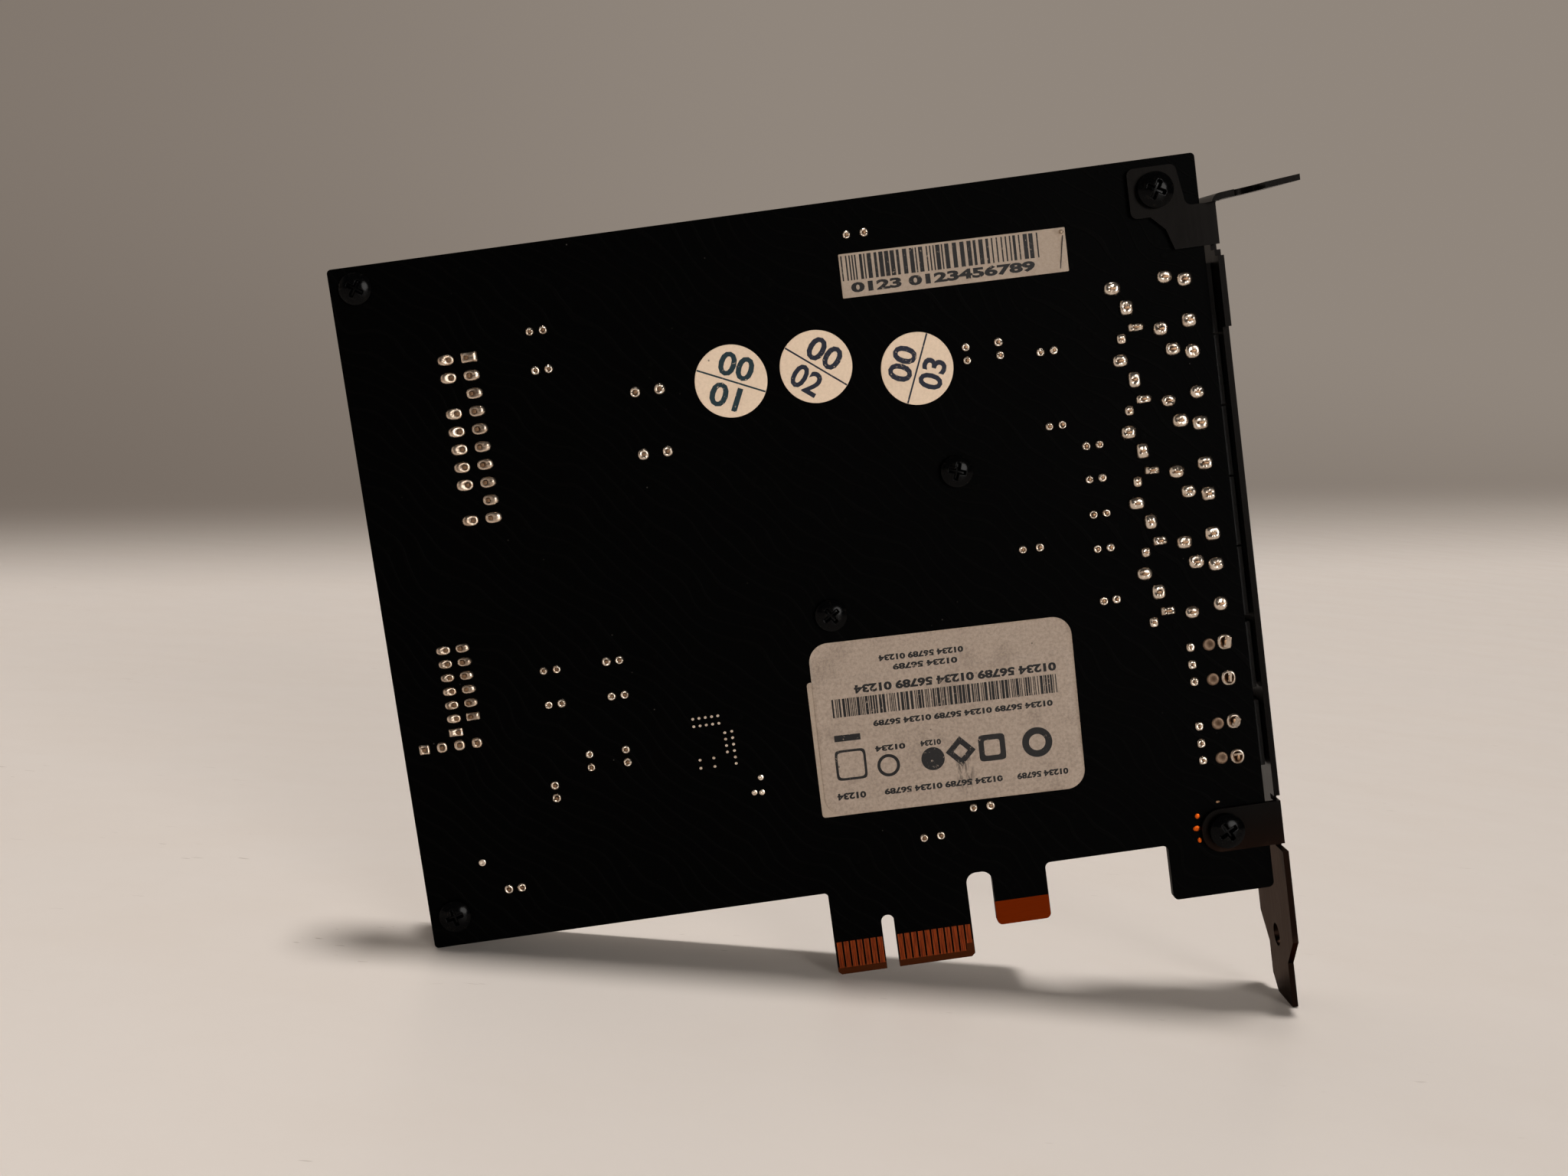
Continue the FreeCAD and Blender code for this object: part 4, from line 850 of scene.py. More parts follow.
# %% Bent tabs
# Shift across and up, half sizes, turn in degrees, and how far one side is lifted.
BENT_TABS = np.array([
    (0.26, 0.05, 0.40, 0.78, -14.0, 0.60), (0.05, 0.15, 0.22, 0.62, -8.0, 0.35),
    (0.24, -0.10, 0.36, 0.70, -32.0, 0.60), (-0.05, 0.42, 0.55, 0.15, 6.0, 0.30),
])
TAB_LEVEL = 0.55
TAB_THICK = 0.22
seat = middle[tabs][np.argsort(-middle[tabs][:, 1])] + BENT_TABS[:, :2]
tab_turn = np.radians(BENT_TABS[:, 4])[:, None]
local = np.array([(-1, -1), (1, -1), (1, 1), (-1, 1)])[None] * BENT_TABS[:, None, 2:4]
lifted = TAB_LEVEL + BENT_TABS[:, 5, None] * 0.5 * (1 + local[..., 0] / BENT_TABS[:, 2, None])
flat_x = seat[:, 0, None] + local[..., 0] * np.cos(tab_turn) - local[..., 1] * np.sin(tab_turn)
flat_z = seat[:, 1, None] + local[..., 0] * np.sin(tab_turn) + local[..., 1] * np.cos(tab_turn)
faces = [np.stack([flat_x, SOLDER_FACE - lifted + drop, flat_z], axis=-1) for drop in (TAB_THICK, 0.0)]
ring_piece("bent_tabs", np.stack(faces, axis=1), "solder", 20.0)

# %% [markdown]
# ## Header joints
# Pins of the headers stand in two rows on long pads, close to the line between the rows, and the solder
# lies as a dull dish on the rest of the pad. A few pads are square, and windows on the board pick them out.

# %% Header joints
HEADERS_PART = -52.0
PANEL_LINE = -49.3
DIGITAL_LINE = -56.6
LONG_PAD = 1.2
PIN_OFF = 0.36
PIN_HALF = 0.3
# Left, right, low and high side of the windows in which a pad is square.
SQUARE_PAD_WINDOWS = [(-48.5, 0.0, 95.0, 120.0), (-70.0, -62.0, 0.0, 42.5), (-70.0, -57.0, 43.0, 44.6),
                      (-56.5, -54.0, 45.0, 46.6)]
middle, half = footprints("header_solder_joints")
count = len(middle)
row_line = np.where(middle[:, 0] > HEADERS_PART, PANEL_LINE, DIGITAL_LINE)
inner = np.where(middle[:, 0] > row_line, -1, 1)
off = np.stack([np.where(half[:, 0] > LONG_PAD * half[:, 1], PIN_OFF * inner, 0.0), np.zeros(count)], axis=1)
square_pad = np.zeros(count, dtype=bool)
for left, right, low, high in SQUARE_PAD_WINDOWS:
    square_pad |= (middle > (left, low)).all(axis=1) & (middle < (right, high)).all(axis=1)
half = half * dice.uniform(0.96, 1.02, (count, 2))
points, hollow = joint_rings(
    middle, half, between(0.42, 0.6, count), dip=between(0.55, 0.85, count),
    dip_size=between(0.7, 0.95, count), off=off, squareness=np.where(square_pad, 9.0, 2.5),
    waist=np.where(square_pad, 0.1, 0.0), lumps=between(0.05, 0.16, count), dish=between(0.36, 0.56, count))
joint_piece("header_joints", "header_solder_joints", "dull_solder", points, hollow)
pin_half = np.full((count, 2), PIN_HALF)
lead_piece("header_lead_ends", middle + off * half, pin_half, between(0.34, 0.5, count), 6.0)
print("square pads:", square_pad.sum())

# %% [markdown]
# ## Capacitor joints
# The capacitors' joints are small and round, and most of them have sunk back into a ring around the wire.
# The same surface makes them with a round outline and a deeper dip.

# %% Capacitor joints
middle, half = footprints("capacitor_solder_joints")
count = len(middle)
half = half * dice.uniform(0.92, 1.04, (count, 1))
points, hollow = joint_rings(
    middle, half, between(0.5, 0.68, count), dip=between(0.45, 0.9, count),
    dip_size=between(0.45, 0.62, count), off=dice.uniform(-0.15, 0.15, (count, 2)),
    squareness=between(2.0, 2.4, count), waist=np.zeros(count), lumps=between(0.08, 0.26, count))
joint_piece("capacitor_joints", "capacitor_solder_joints", "solder", points, hollow)
lead_piece("capacitor_lead_ends", middle, half * 0.36, between(0.36, 0.62, count), 2.0)

# %% [markdown]
# ## Screw heads
# The card has six black screws: two through the bracket's ears and four that hold the shield. Each head is
# a dome with a cross pressed into it. A cross could be cut by a boolean, but as a height over rings and
# angles it needs no cutting: the head's height is a dome, less a depth wherever a point lies in one of the
# two bars of the cross.

# %% A pressed cross
def step(value, low, high):
    """Smooth step from 0 at low to 1 at high."""
    share = np.clip((value - low) / (high - low), 0, 1)
    return share * share * (3 - 2 * share)


def cross_depth(across, along, arm, bar, soft):
    """1 inside a cross with arms and bars of these half sizes, falling to 0 over the width soft."""
    def inside(a, b):
        return (1 - step(np.abs(a), arm - soft, arm)) * (1 - step(np.abs(b), bar - soft, bar))
    return np.maximum(inside(across, along), inside(along, across))


print("depth in the middle of a cross:", cross_depth(0.0, 0.0, 1.0, 0.3, 0.1))

# %% [markdown]
# ## Heads on their screws
# The places and sizes of the heads come from the solids, and each cross stands at the angle at which its
# screw was left. The rings are close together, because the edge of the cross has to run between them.

# %% Screw heads
HEAD_AROUND = 120
HEAD_RINGS = 34
HEAD_CREASE = 40.0


def screw_heads(name, node, turns):
    """Dome heads on the places of a node's solids, each with a cross turned by its own angle.

    Of the height, 0.62 is the rim, and the rest a dome that falls off as the share to the 2.6th power."""
    low, high = boxes_of(node)
    middle = (low + high)[:, [0, 2]] / 2
    radius = (high - low)[:, 2].max() / 2
    height = (high - low)[:, 1].max()
    seat = high[:, 1]
    share = np.concatenate([[1.0, 1.0], np.linspace(0.985, 0.02, HEAD_RINGS)])[None, :, None]
    angle = (2 * np.pi * np.arange(HEAD_AROUND) / HEAD_AROUND)[None, None, :]
    across = share * radius * np.cos(angle)
    along = share * radius * np.sin(angle)
    dome = height * (0.62 + 0.38 * (1 - share ** 2.6))
    tilt = np.asarray(turns)[:, None, None]
    local_x = across * np.cos(tilt) + along * np.sin(tilt)
    local_z = along * np.cos(tilt) - across * np.sin(tilt)
    rise = dome - 0.5 * height * cross_depth(local_x, local_z, 0.56 * radius, 0.15 * radius, 0.1 * radius)
    rise[:, 0] = 0.0
    rise[:, 1] = 0.55 * height
    points = np.stack([
        middle[:, 0, None, None] + across + 0 * rise,
        seat[:, None, None] - rise,
        middle[:, 1, None, None] + along + 0 * rise,
    ], axis=-1)
    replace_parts(ring_piece(name, points, "black_steel", HEAD_CREASE), node)


screw_heads("bracket_screw_heads", "bracket_screws", np.radians([28.0, 62.0]))
screw_heads("shield_screw_heads", "shield_screws", np.radians([12.0, 55.0, 33.0, 71.0]))

# %% [markdown]
# ## Bare pads and ground spots
# Some holes and pads carry no part. They are flat tinned rings and dots, and beside the low ear three spots
# of the ring-shaped ground pad stay bare of mask. A picture could show them, but as thin closed pieces that
# stand on the board they catch the light as real pads do.

# %% Pads
PAD_RISE = 0.06


def pad_rings(places, radius_x, radius_z, hole):
    """Flat pads with a sunk hole: rings go up the outside, in over the top, and down into the hole."""
    places = np.asarray(places, dtype=float)
    cosine, sine = circle(20)
    share = np.array([1.0, 1.0, 0.94, hole + 0.06, hole, hole * 0.9])[:, None]
    rise = np.array([-SUNK, PAD_RISE * 0.7, PAD_RISE, PAD_RISE, 0.02, 0.01])[:, None]
    wide = np.broadcast_to(radius_x, len(places))[:, None, None]
    return np.stack([
        places[:, 0, None, None] + share * wide * cosine,
        SOLDER_FACE - rise + 0 * places[:, 0, None, None] + 0 * cosine,
        places[:, 1, None, None] + share * radius_z * sine,
    ], axis=-1)


TEST_PADS = [(-15.5, 31.0), (-16.7, 28.9), (-15.6, 28.8)]
GROUND_SPOTS = [(46.9, 16.3), (46.6, 14.5), (46.85, 12.7)]
GROUND_SPOT_HALVES = [0.36, 0.54, 0.3]
ring_piece("bare_ring", pad_rings([(-57.2, 24.2)], 0.5, 0.5, 0.55), "solder")
ring_piece("test_pads", pad_rings(TEST_PADS, 0.41, 0.41, 0.3), "solder")
ground_rings = pad_rings(GROUND_SPOTS, GROUND_SPOT_HALVES, 0.4, 0.2)
ring_piece("ground_spots", ground_rings, "ground_copper")
ring_piece("ground_spot_masked", pad_rings([(50.1, 18.0)], 0.3, 0.16, 0.2), "lead_end")

# %% [markdown]
# ## Pads of the socket pegs and a chip place
# Beside each optical socket two pegs come through dull ring pads, which are shallow joints without a lead.
# Near the middle of the board lie rows of tiny bare pads, so a short function lays out a row.

# %% Peg pads and chip pads
SOCKET_PEG_X = 51.4
SOCKET_PEG_SPREAD = 2.57
SOCKET_PEG_HALF = 0.92


def middle_of(node):
    """Middle of a CAD node on the board, along X and Z."""
    low, high = box_mm(node)
    return ((low + high) / 2)[[0, 2]]


def pad_row(start_x, start_z, step_x, step_z, number):
    """Places of so many pads in a row."""
    steps = np.arange(number)
    return np.stack([start_x + step_x * steps, start_z + step_z * steps], axis=1)


optical_levels = [middle_of(f"optical_{number}_housing")[1] for number in (1, 2)]
pegs = [(SOCKET_PEG_X, level + side * SOCKET_PEG_SPREAD) for level in optical_levels for side in (-1, 1)]
count = len(pegs)
points, hollow = joint_rings(
    np.array(pegs), np.full((count, 2), SOCKET_PEG_HALF), np.full(count, 0.3), dip=np.full(count, 0.8),
    dip_size=np.full(count, 0.85), off=np.zeros((count, 2)), squareness=np.full(count, 2.0),
    waist=np.zeros(count), lumps=np.full(count, 0.05))
# The dip of each pad is darkened by hollow as painted shade.
ring_piece("socket_pads", points, "peg_pad", hollow=hollow * 0.8)
chip_pads = np.concatenate([
    pad_row(-24.06, 40.85, 0.913, 0.0, 5),
    pad_row(-24.06, 39.74, 0.913, 0.0, 5),
    pad_row(-18.73, 38.32, 0.0, -0.954, 6),
    pad_row(-19.76, 38.25, 0.0, -0.95, 4),
    np.array([(-23.85, 34.76), (-23.89, 33.56), (-21.83, 34.80), (-21.85, 33.55)]),
])
ring_piece("chip_pads", pad_rings(chip_pads, 0.225, 0.2, 0.2), "solder")

# %% [markdown]
# ## Label sheets
# A label is a thin sheet that has been pressed on by hand, so it is nearly flat but not quite. It is made
# of rings as well: its outline is scaled from the middle to the edge, under the sheet and back over it. The
# outline is a rectangle with round corners, or a circle. A height that depends on the place adds the
# creases of the real one.

# %% Sheets from an outline
CORNER_STEPS = 17
SIDE_STEPS = 39
SHEET_AROUND = 4 * (CORNER_STEPS + SIDE_STEPS)
SHEET_RINGS = 40
SHEET_CREASE = 60.0
LABEL_THICK = 0.1


def rounded_outline(width, height, corner):
    """Points around a rectangle: each corner is a quarter of a circle, and each side is shared evenly.

    corner is one radius, or four, counted from the upper right corner against the clock."""
    corner = np.broadcast_to(np.asarray(corner, dtype=float), 4)[:, None]
    angle = np.linspace(0, np.pi / 2, CORNER_STEPS) + np.arange(4)[:, None] * np.pi / 2
    centre = np.array([(1, 1), (-1, 1), (-1, -1), (1, -1)]) * (np.array([width, height]) / 2 - corner)
    arcs = centre[:, None] + corner[:, None] * np.stack([np.cos(angle), np.sin(angle)], axis=-1)
    share = (np.arange(SIDE_STEPS) + 1)[:, None] / (SIDE_STEPS + 1)
    sides = arcs[:, -1:] + share * (np.roll(arcs, -1, axis=0)[:, :1] - arcs[:, -1:])
    return np.concatenate([arcs, sides], axis=1).reshape(-1, 2)


def on_label(local, middle, degrees):
    """Place on the solder side of points given from a label's own middle, along its turned axes."""
    cosine = math.cos(math.radians(degrees))
    sine = math.sin(math.radians(degrees))
    return (middle[0] + local[..., 0] * cosine - local[..., 1] * sine,
            middle[1] + local[..., 0] * sine + local[..., 1] * cosine)


def sheet_rings(outline, middle, degrees, seat, crease):
    """Rings of one sheet: under face from the middle out, edge, then the top face back to the middle."""
    under_and_edge = [0.02, 0.5, 1.0, 1.0]
    shares = np.concatenate([under_and_edge, [0.995], np.linspace(0.97, 0.02, SHEET_RINGS)])
    local = shares[:, None, None] * outline[None]
    place_x, place_z = on_label(local, middle, degrees)
    rise = np.where(np.arange(len(shares)) < len(under_and_edge), 0.0, LABEL_THICK)
    rise[len(under_and_edge) - 1] = LABEL_THICK * 0.8
    top = rise == LABEL_THICK
    rise = rise[:, None] + top[:, None] * crease(local[..., 0], local[..., 1])
    return np.stack([place_x, seat - rise, place_z], axis=-1)


print("a sheet has", SHEET_AROUND, "points around and", SHEET_RINGS + 5, "rings")

# %% [markdown]
# ## Creases
# Film that was pressed on by hand keeps slow waves, and it drops where it runs off the older label beneath
# it. The paper strip has one slanting crease and a bump over a lead. A cloth simulation could give such
# forms, but sines and bells of the place on the label are exact and always the same.

# %% Heights of the creases
STRIP_LEAD = (15.5, 2.5)


def no_crease(u, v):
    """A flat sheet."""
    return 0.0 * u


def film_crease(u, v):
    """Two slow waves, less a smooth step where the film runs off the label beneath it."""
    wave = 0.012 * np.sin(0.55 * u + 0.3 * v) + 0.010 * np.sin(0.9 * v - 0.2 * u + 1.0) + 0.022
    return wave - 0.08 * np.maximum(step(v - 0.009 * u, 7.0, 7.7), step(u, 18.1, 18.5))


def strip_crease(u, v):
    """A bell across a slanting line near the right end, and a round bell over the lead beneath the corner."""
    along = u - 15.3 - 0.16 * v
    lead = np.hypot(u - STRIP_LEAD[0], v - STRIP_LEAD[1])
    return 0.015 + 0.12 * np.exp(-(along / 0.22) ** 2) + 0.3 * np.exp(-(lead / 0.7) ** 2)


def sticker_crease(u, v):
    """One slow wave."""
    return 0.008 + 0.006 * np.sin(0.8 * u + 0.5 * v)


print("the film's edge drops by", round(film_crease(0.0, 7.0) - film_crease(0.0, 7.7), 3), "mm")

# %% [markdown]
# ## The three rectangular labels
# The data label lies over an older one of the same width, and a paper strip lies near the top. Each takes
# its middle from its solid, and its flat size and turn from the real label.

# %% Rectangular labels
DATA_TURN = -1.3
UNDER_TURN = -0.8
STRIP_TURN = -0.8
DATA_SIZE = (38.1, 25.4)
UNDER_SIZE = (38.1, 20.0)
STRIP_SIZE = (32.2, 6.2)
DATA_ROUND = 2.8
UNDER_ROUND = (0.5, 0.5, 0.5, 3.6)
STRIP_ROUND = 0.15
data_seat = box_mm("data_label")[1][1]


def label_sheet(name, node, size, corner, degrees, seat, crease, slot):
    """A creased sheet with round corners in place of a label's plain solid."""
    points = sheet_rings(rounded_outline(*size, corner), middle_of(node), degrees, seat, crease)
    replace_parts(ring_piece(name, points[None], slot, SHEET_CREASE), node)


label_sheet("under_sheet", "under_label", UNDER_SIZE, UNDER_ROUND, UNDER_TURN, SOLDER_FACE, no_crease,
            "label_paper")
label_sheet("data_sheet", "data_label", DATA_SIZE, DATA_ROUND, DATA_TURN, data_seat, film_crease,
            "label_foil")
label_sheet("strip_sheet", "strip_label", STRIP_SIZE, STRIP_ROUND, STRIP_TURN, SOLDER_FACE, strip_crease,
            "label_paper")

# %% [markdown]
# ## Round stickers
# Three round paper stickers, such as a maker puts on after a test, lie in a row. They could be cylinders,
# but the same sheet with a circle as its outline also gives them a slight wave.

# %% Round stickers
low, high = boxes_of("round_stickers")
sticker_middles = (low + high)[:, [0, 2]] / 2
sticker_radius = (high - low)[0, 0] / 2
disc = np.stack(circle(SHEET_AROUND), axis=-1) * sticker_radius
discs = [sheet_rings(disc, centre, 0.0, SOLDER_FACE, sticker_crease) for centre in sticker_middles]
round_sheets = ring_piece("round_sheets", np.array(discs), "sticker_paper", SHEET_CREASE)
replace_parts(round_sheets, "round_stickers")

# %% [markdown]
# ## Print on the labels
# The print is made of bars, counting digits and plain shapes, in the tone and the layout that such labels
# have. An image could be laid on instead, but it would blur near the camera, and the export would have to
# carry it. Each print is a thin closed piece that follows the creases of its label.

# %% Flat prints
INK_RISE = 0.012
INK_SUNK = 0.03
PRINT_CREASE = 30.0


def lay(local, rise, middle, degrees, seat, crease):
    """Points of a print laid on a label: local places, lifted over the creased top by rise."""
    place_x, place_z = on_label(local, middle, degrees)
    top = seat - LABEL_THICK - crease(local[..., 0], local[..., 1])
    return np.stack([place_x, top - rise, place_z], axis=-1)


def print_piece(name, outlines, where, finish):
    """Closed thin prints from outlines[copy, step, (u, v)]: a low ring, a high one and a smaller one."""
    middles = outlines.mean(axis=1, keepdims=True)
    inner = middles + 0.3 * (outlines - middles)
    rings = np.stack([outlines, outlines, inner], axis=1)
    rise = np.array([-INK_SUNK, INK_RISE, INK_RISE])[None, :, None]
    return ring_piece(name, lay(rings, rise, *where), finish, PRINT_CREASE)


print("ink stands", INK_RISE, "mm over a label")

# %% [markdown]
# ## Bars
# A row of bars is a row of flat boxes. Widths and gaps are drawn by lot from a few sizes, with a fixed
# seed, so the row stands for no number and is the same each time. Points along each side let a bar follow
# the creases.

# %% Bars
def box_outlines(boxes, steps=6):
    """Outlines of flat boxes (left, low, right, high), with so many points on each side."""
    boxes = np.asarray(boxes, dtype=float)
    share = np.arange(steps) / steps
    low = np.stack([share, 0 * share], axis=-1)
    far = np.stack([1 + 0 * share, share], axis=-1)
    corners = np.concatenate([low, far, 1 - low, 1 - far])
    size = boxes[:, 2:] - boxes[:, :2]
    return boxes[:, None, :2] + corners * size[:, None]


def bars(left, end, low, high, thin, seed, gaps):
    """Upright bars between two ends, as boxes.

    Their widths are one to three times the thin one, drawn by lot, and gaps are drawn from their own list."""
    lot = np.random.default_rng(seed)
    widths = thin * lot.choice([1.0, 1.0, 2.0, 3.0], 400)
    widths[1::2] = thin * lot.choice(gaps, 200)
    edges = left + np.concatenate([[0], np.cumsum(widths)])
    starts = edges[0:-1:2]
    ends = edges[1::2]
    kept = ends < end
    starts = starts[kept]
    ends = ends[kept]
    return np.stack([starts, np.full(len(starts), low), ends, np.full(len(starts), high)], axis=1)


print("on 10 mm,", len(bars(0.0, 10.0, 0.0, 1.0, 0.2, 21, (1.0, 2.0))), "bars of 0.2 mm and more find room")

# %% [markdown]
# ## Digits
# Blender's own font gives the digits. A text object could stay live, but the export wants a mesh, and a
# mesh can also be bent over the creases. So each row of text is thickened, turned into a mesh and laid on
# the label.

# %% Digits
TEXT_DETAIL = 3


def text_mesh(text, weight):
    """Corner points and triangles of a thick text, whose letters are made bolder by weight."""
    curve = bpy.data.curves.new("digits", "FONT")
    curve.body = text
    curve.extrude = 0.5
    curve.offset = weight
    curve.resolution_u = TEXT_DETAIL
    holder = bpy.data.objects.new("digits", curve)
    bpy.context.scene.collection.objects.link(holder)
    bpy.context.view_layer.update()
    mesh = bpy.data.meshes.new_from_object(holder.evaluated_get(bpy.context.evaluated_depsgraph_get()))
    points, triangles = read_mesh(mesh)
    bpy.data.objects.remove(holder)
    bpy.data.curves.remove(curve)
    bpy.data.meshes.remove(mesh)
    return points, triangles


print("one digit has", len(text_mesh("0", 0.0)[0]), "points")

# %% [markdown]
# ## Rows of digits
# A row is fitted to the width and height that it has on the label, turned, and laid on the creased top. All
# rows of a label become one piece, so their triangles are counted on from row to row.

# %% Rows of digits
def digits_piece(name, lines, where, finish, weight=0.05):
    """Rows of digits on a label; each line is (text, u, v of its middle, width, height, turn in degrees)."""
    corners = []
    triangles = []
    count = 0
    for text, u, v, width, height, degrees in lines:
        points, faces = text_mesh(text, weight)
        low = points.min(axis=0)
        size = np.ptp(points, axis=0)
        flat = (points[:, :2] - low[:2] - size[:2] / 2) / size[:2] * np.array([width, height])
        turn = math.radians(degrees)
        spin = np.array([[math.cos(turn), math.sin(turn)], [-math.sin(turn), math.cos(turn)]])
        rise = np.where(points[:, 2] > 0, INK_RISE, -INK_SUNK)
        corners.append(lay(flat @ spin + np.array([u, v]), rise, *where))
        triangles.append(faces + count)
        count += len(points)
    no_quads = np.empty((0, 4), dtype=np.int32)
    corners = np.concatenate(corners)
    return write_piece(name, corners, no_quads, np.concatenate(triangles), finish, PRINT_CREASE)


def counted(length):
    """A row of digits that only counts up, with a gap after every five."""
    return " ".join("0123456789"[start % 10:start % 10 + 5] for start in range(0, length, 5))


print("a row of fifteen:", counted(15))

# %% [markdown]
# ## Print on the data label
# The label was stuck on upside down, so its rows are turned by half a turn. Places are measured from the
# label's left and top side, as with a ruler.

# %% Bars and rows of the data label
on_data = (middle_of("data_label"), DATA_TURN, data_seat, film_crease)
data_left = -DATA_SIZE[0] / 2
data_top = DATA_SIZE[1] / 2
# Rows of small print: left and right end and the middle's distance from the top, height, and how many digits.
TEXT_ROWS = [
    (10.0, 22.3, 3.08, 0.92, 15), (11.9, 21.3, 4.55, 0.92, 10), (6.0, 35.4, 7.16, 1.3, 25),
    (8.2, 34.4, 12.43, 0.92, 30), (28.2, 35.7, 22.66, 0.95, 10), (8.8, 26.1, 22.64, 0.95, 20),
    (1.9, 6.1, 22.64, 1.0, 5), (14.7, 17.7, 16.2, 0.85, 5), (8.1, 12.5, 16.2, 0.85, 5),
]
CLOSE_GAPS = (0.8, 0.8, 1.0, 2.0)
data_boxes = np.concatenate([
    bars(2.55 + data_left, 35.35 + data_left, data_top - 11.0, data_top - 8.3, 0.13, 5, CLOSE_GAPS),
    np.array([(2.37 + data_left, data_top - 14.53, 6.17 + data_left, data_top - 13.6)]),
])
print_piece("data_bars", box_outlines(data_boxes), on_data, "film_ink")
data_lines = [(counted(number), (left + end) / 2 + data_left, data_top - down, end - left, tall, 180.0)
              for left, end, down, tall, number in TEXT_ROWS]
digits_piece("data_digits", data_lines, on_data, "film_ink")

# %% [markdown]
# ## Rings and squares
# A row of plain outlines stands among the text: circles, squares and a diamond. All are one curve, whose
# exponent makes it a diamond at 1, a circle at 2 and a square at 8, and each band is closed like a tube.

# %% Outlines on the data label
def loop_piece(name, loops, where, finish):
    """Closed bands around a middle, each (u, v, half size, band width, squareness): four rings, as a tube."""
    rise = np.array([-INK_SUNK, INK_RISE, INK_RISE, -INK_SUNK])[:, None]
    bands = []
    for u, v, half, band, squareness in loops:
        way = np.stack(circle(64, squareness), axis=-1)
        ring = np.stack([way * half, way * half, way * (half - band), way * (half - band)])
        bands.append(lay(ring + np.array([u, v]), rise, *where))
    copies, rings, around, _ = np.shape(bands)
    corners = np.array(bands).reshape(copies, -1, 3)
    rows = np.arange(rings) * around
    quads = quads_between(rows, np.roll(rows, -1), around)
    quads, triangles = faces_of_copies(corners, quads, np.empty((0, 3), dtype=np.int32))
    return write_piece(name, corners.reshape(-1, 3), quads, triangles, finish, PRINT_CREASE)


marks_level = data_top - 17.95
loop_piece("data_rings", [
    (31.6 + data_left, marks_level, 2.20, 1.00, 2.0),
    (25.0 + data_left, marks_level, 1.95, 0.80, 8.0),
    (20.4 + data_left, marks_level, 2.20, 1.15, 1.0),
    (9.8 + data_left, marks_level - 0.85, 1.65, 0.45, 2.0),
    (4.4 + data_left, marks_level - 0.1, 2.25, 0.36, 8.0),
], on_data, "film_ink")
spot = np.stack(circle(48), axis=-1) * 1.7 + np.array([16.3 + data_left, marks_level - 0.65])
print_piece("data_disc", spot[None], on_data, "film_ink")

# %% [markdown]
# ## Print on the strip label
# The strip has one row of bars over one row of digits. Along its crease a thin dark line of ink is painted
# shade, and beneath its corner a lead lifts the paper and looks through.

# %% Strip label
on_strip = (middle_of("strip_label"), STRIP_TURN, SOLDER_FACE, strip_crease)
strip_left = -STRIP_SIZE[0] / 2
strip_top = STRIP_SIZE[1] / 2
WIDE_GAPS = (1.0, 1.4, 2.0, 2.4)
strip_boxes = bars(strip_left + 0.25, strip_left + 28.4, strip_top - 3.8, strip_top - 0.3, 0.2, 21, WIDE_GAPS)
print_piece("strip_bars", box_outlines(strip_boxes), on_strip, "paper_ink")
# A thin dark line along the crease, painted shade where the paper folds.
crease_painted_shade = np.array([(15.62, 2.0), (14.88, -2.6), (14.98, -2.6), (15.74, 2.0)])
print_piece("strip_crease_line", crease_painted_shade[None], on_strip, "paper_ink")
lead_place = np.stack(on_label(np.array([STRIP_LEAD]), *on_strip[:2]), axis=1)
points, hollow = joint_rings(
    lead_place, np.full((1, 2), 0.36), np.array([0.9]), dip=np.array([0.2]), dip_size=np.array([0.4]),
    off=np.zeros((1, 2)), squareness=np.array([2.0]), waist=np.zeros(1), lumps=np.array([0.2]))
ring_piece("strip_corner_lead", points, "solder", hollow=hollow)
strip_line = ("0123 0123456789", strip_left + 14.4, strip_top - 4.85, 26.2, 1.5, 0.0)
digits_piece("strip_digits", [strip_line], on_strip, "paper_ink")

# %% [markdown]
# ## Print on the round stickers
# Each sticker has a line across its middle and a number above and below it. They were stuck on at three
# angles, so the print is made upright and turned with its sticker.

# %% Sticker print
STICKER_TURNS = (-24.7, -38.2, 67.5)
STICKER_INKS = ("teal_ink", "navy_ink", "navy_ink")
LINE_HALF = 0.12
LINE_MARGIN = 0.05
reach = sticker_radius - LINE_MARGIN
for index, (centre, degrees, ink) in enumerate(zip(sticker_middles, STICKER_TURNS, STICKER_INKS)):
    name = f"sticker_{index + 1}"
    on_sticker = (centre, degrees, SOLDER_FACE, sticker_crease)
    line = box_outlines([(-reach, -LINE_HALF, reach, LINE_HALF)], 16)
    print_piece(f"{name}_line", line, on_sticker, ink)
    numbers = [("00", 0.1, 2.2, 5.1, 3.5, 0.0), (f"0{index + 1}", -0.2, -2.3, 4.4, 3.5, 0.0)]
    digits_piece(f"{name}_digits", numbers, on_sticker, ink, 0.025)

# %% [markdown]
# ## Capacitor cans
# A radial capacitor is a drawn aluminium can, rolled in near its foot where it grips the rubber bung, with
# a rounded shoulder and a cross pressed into the top so that it can vent. Its profile is turned around its
# axis, ring by ring, and the cross is the same function as on the screws.

# %% Capacitor cans
CAN_AROUND = 48
CAN_CREASE = 35.0
CAN_TOP = 0.985
# Shares of the radius and of the height, from the foot up to the rim of the top.
CAN_PROFILE = np.array([
    (0.90, 0.00), (0.93, 0.02), (0.93, 0.07), (1.00, 0.09), (1.00, 0.16), (0.93, 0.19), (0.93, 0.21),
    (1.00, 0.25), (1.00, 0.60), (1.00, 0.955), (0.985, 0.985), (0.94, 1.00), (0.88, 1.00), (0.84, CAN_TOP),
])


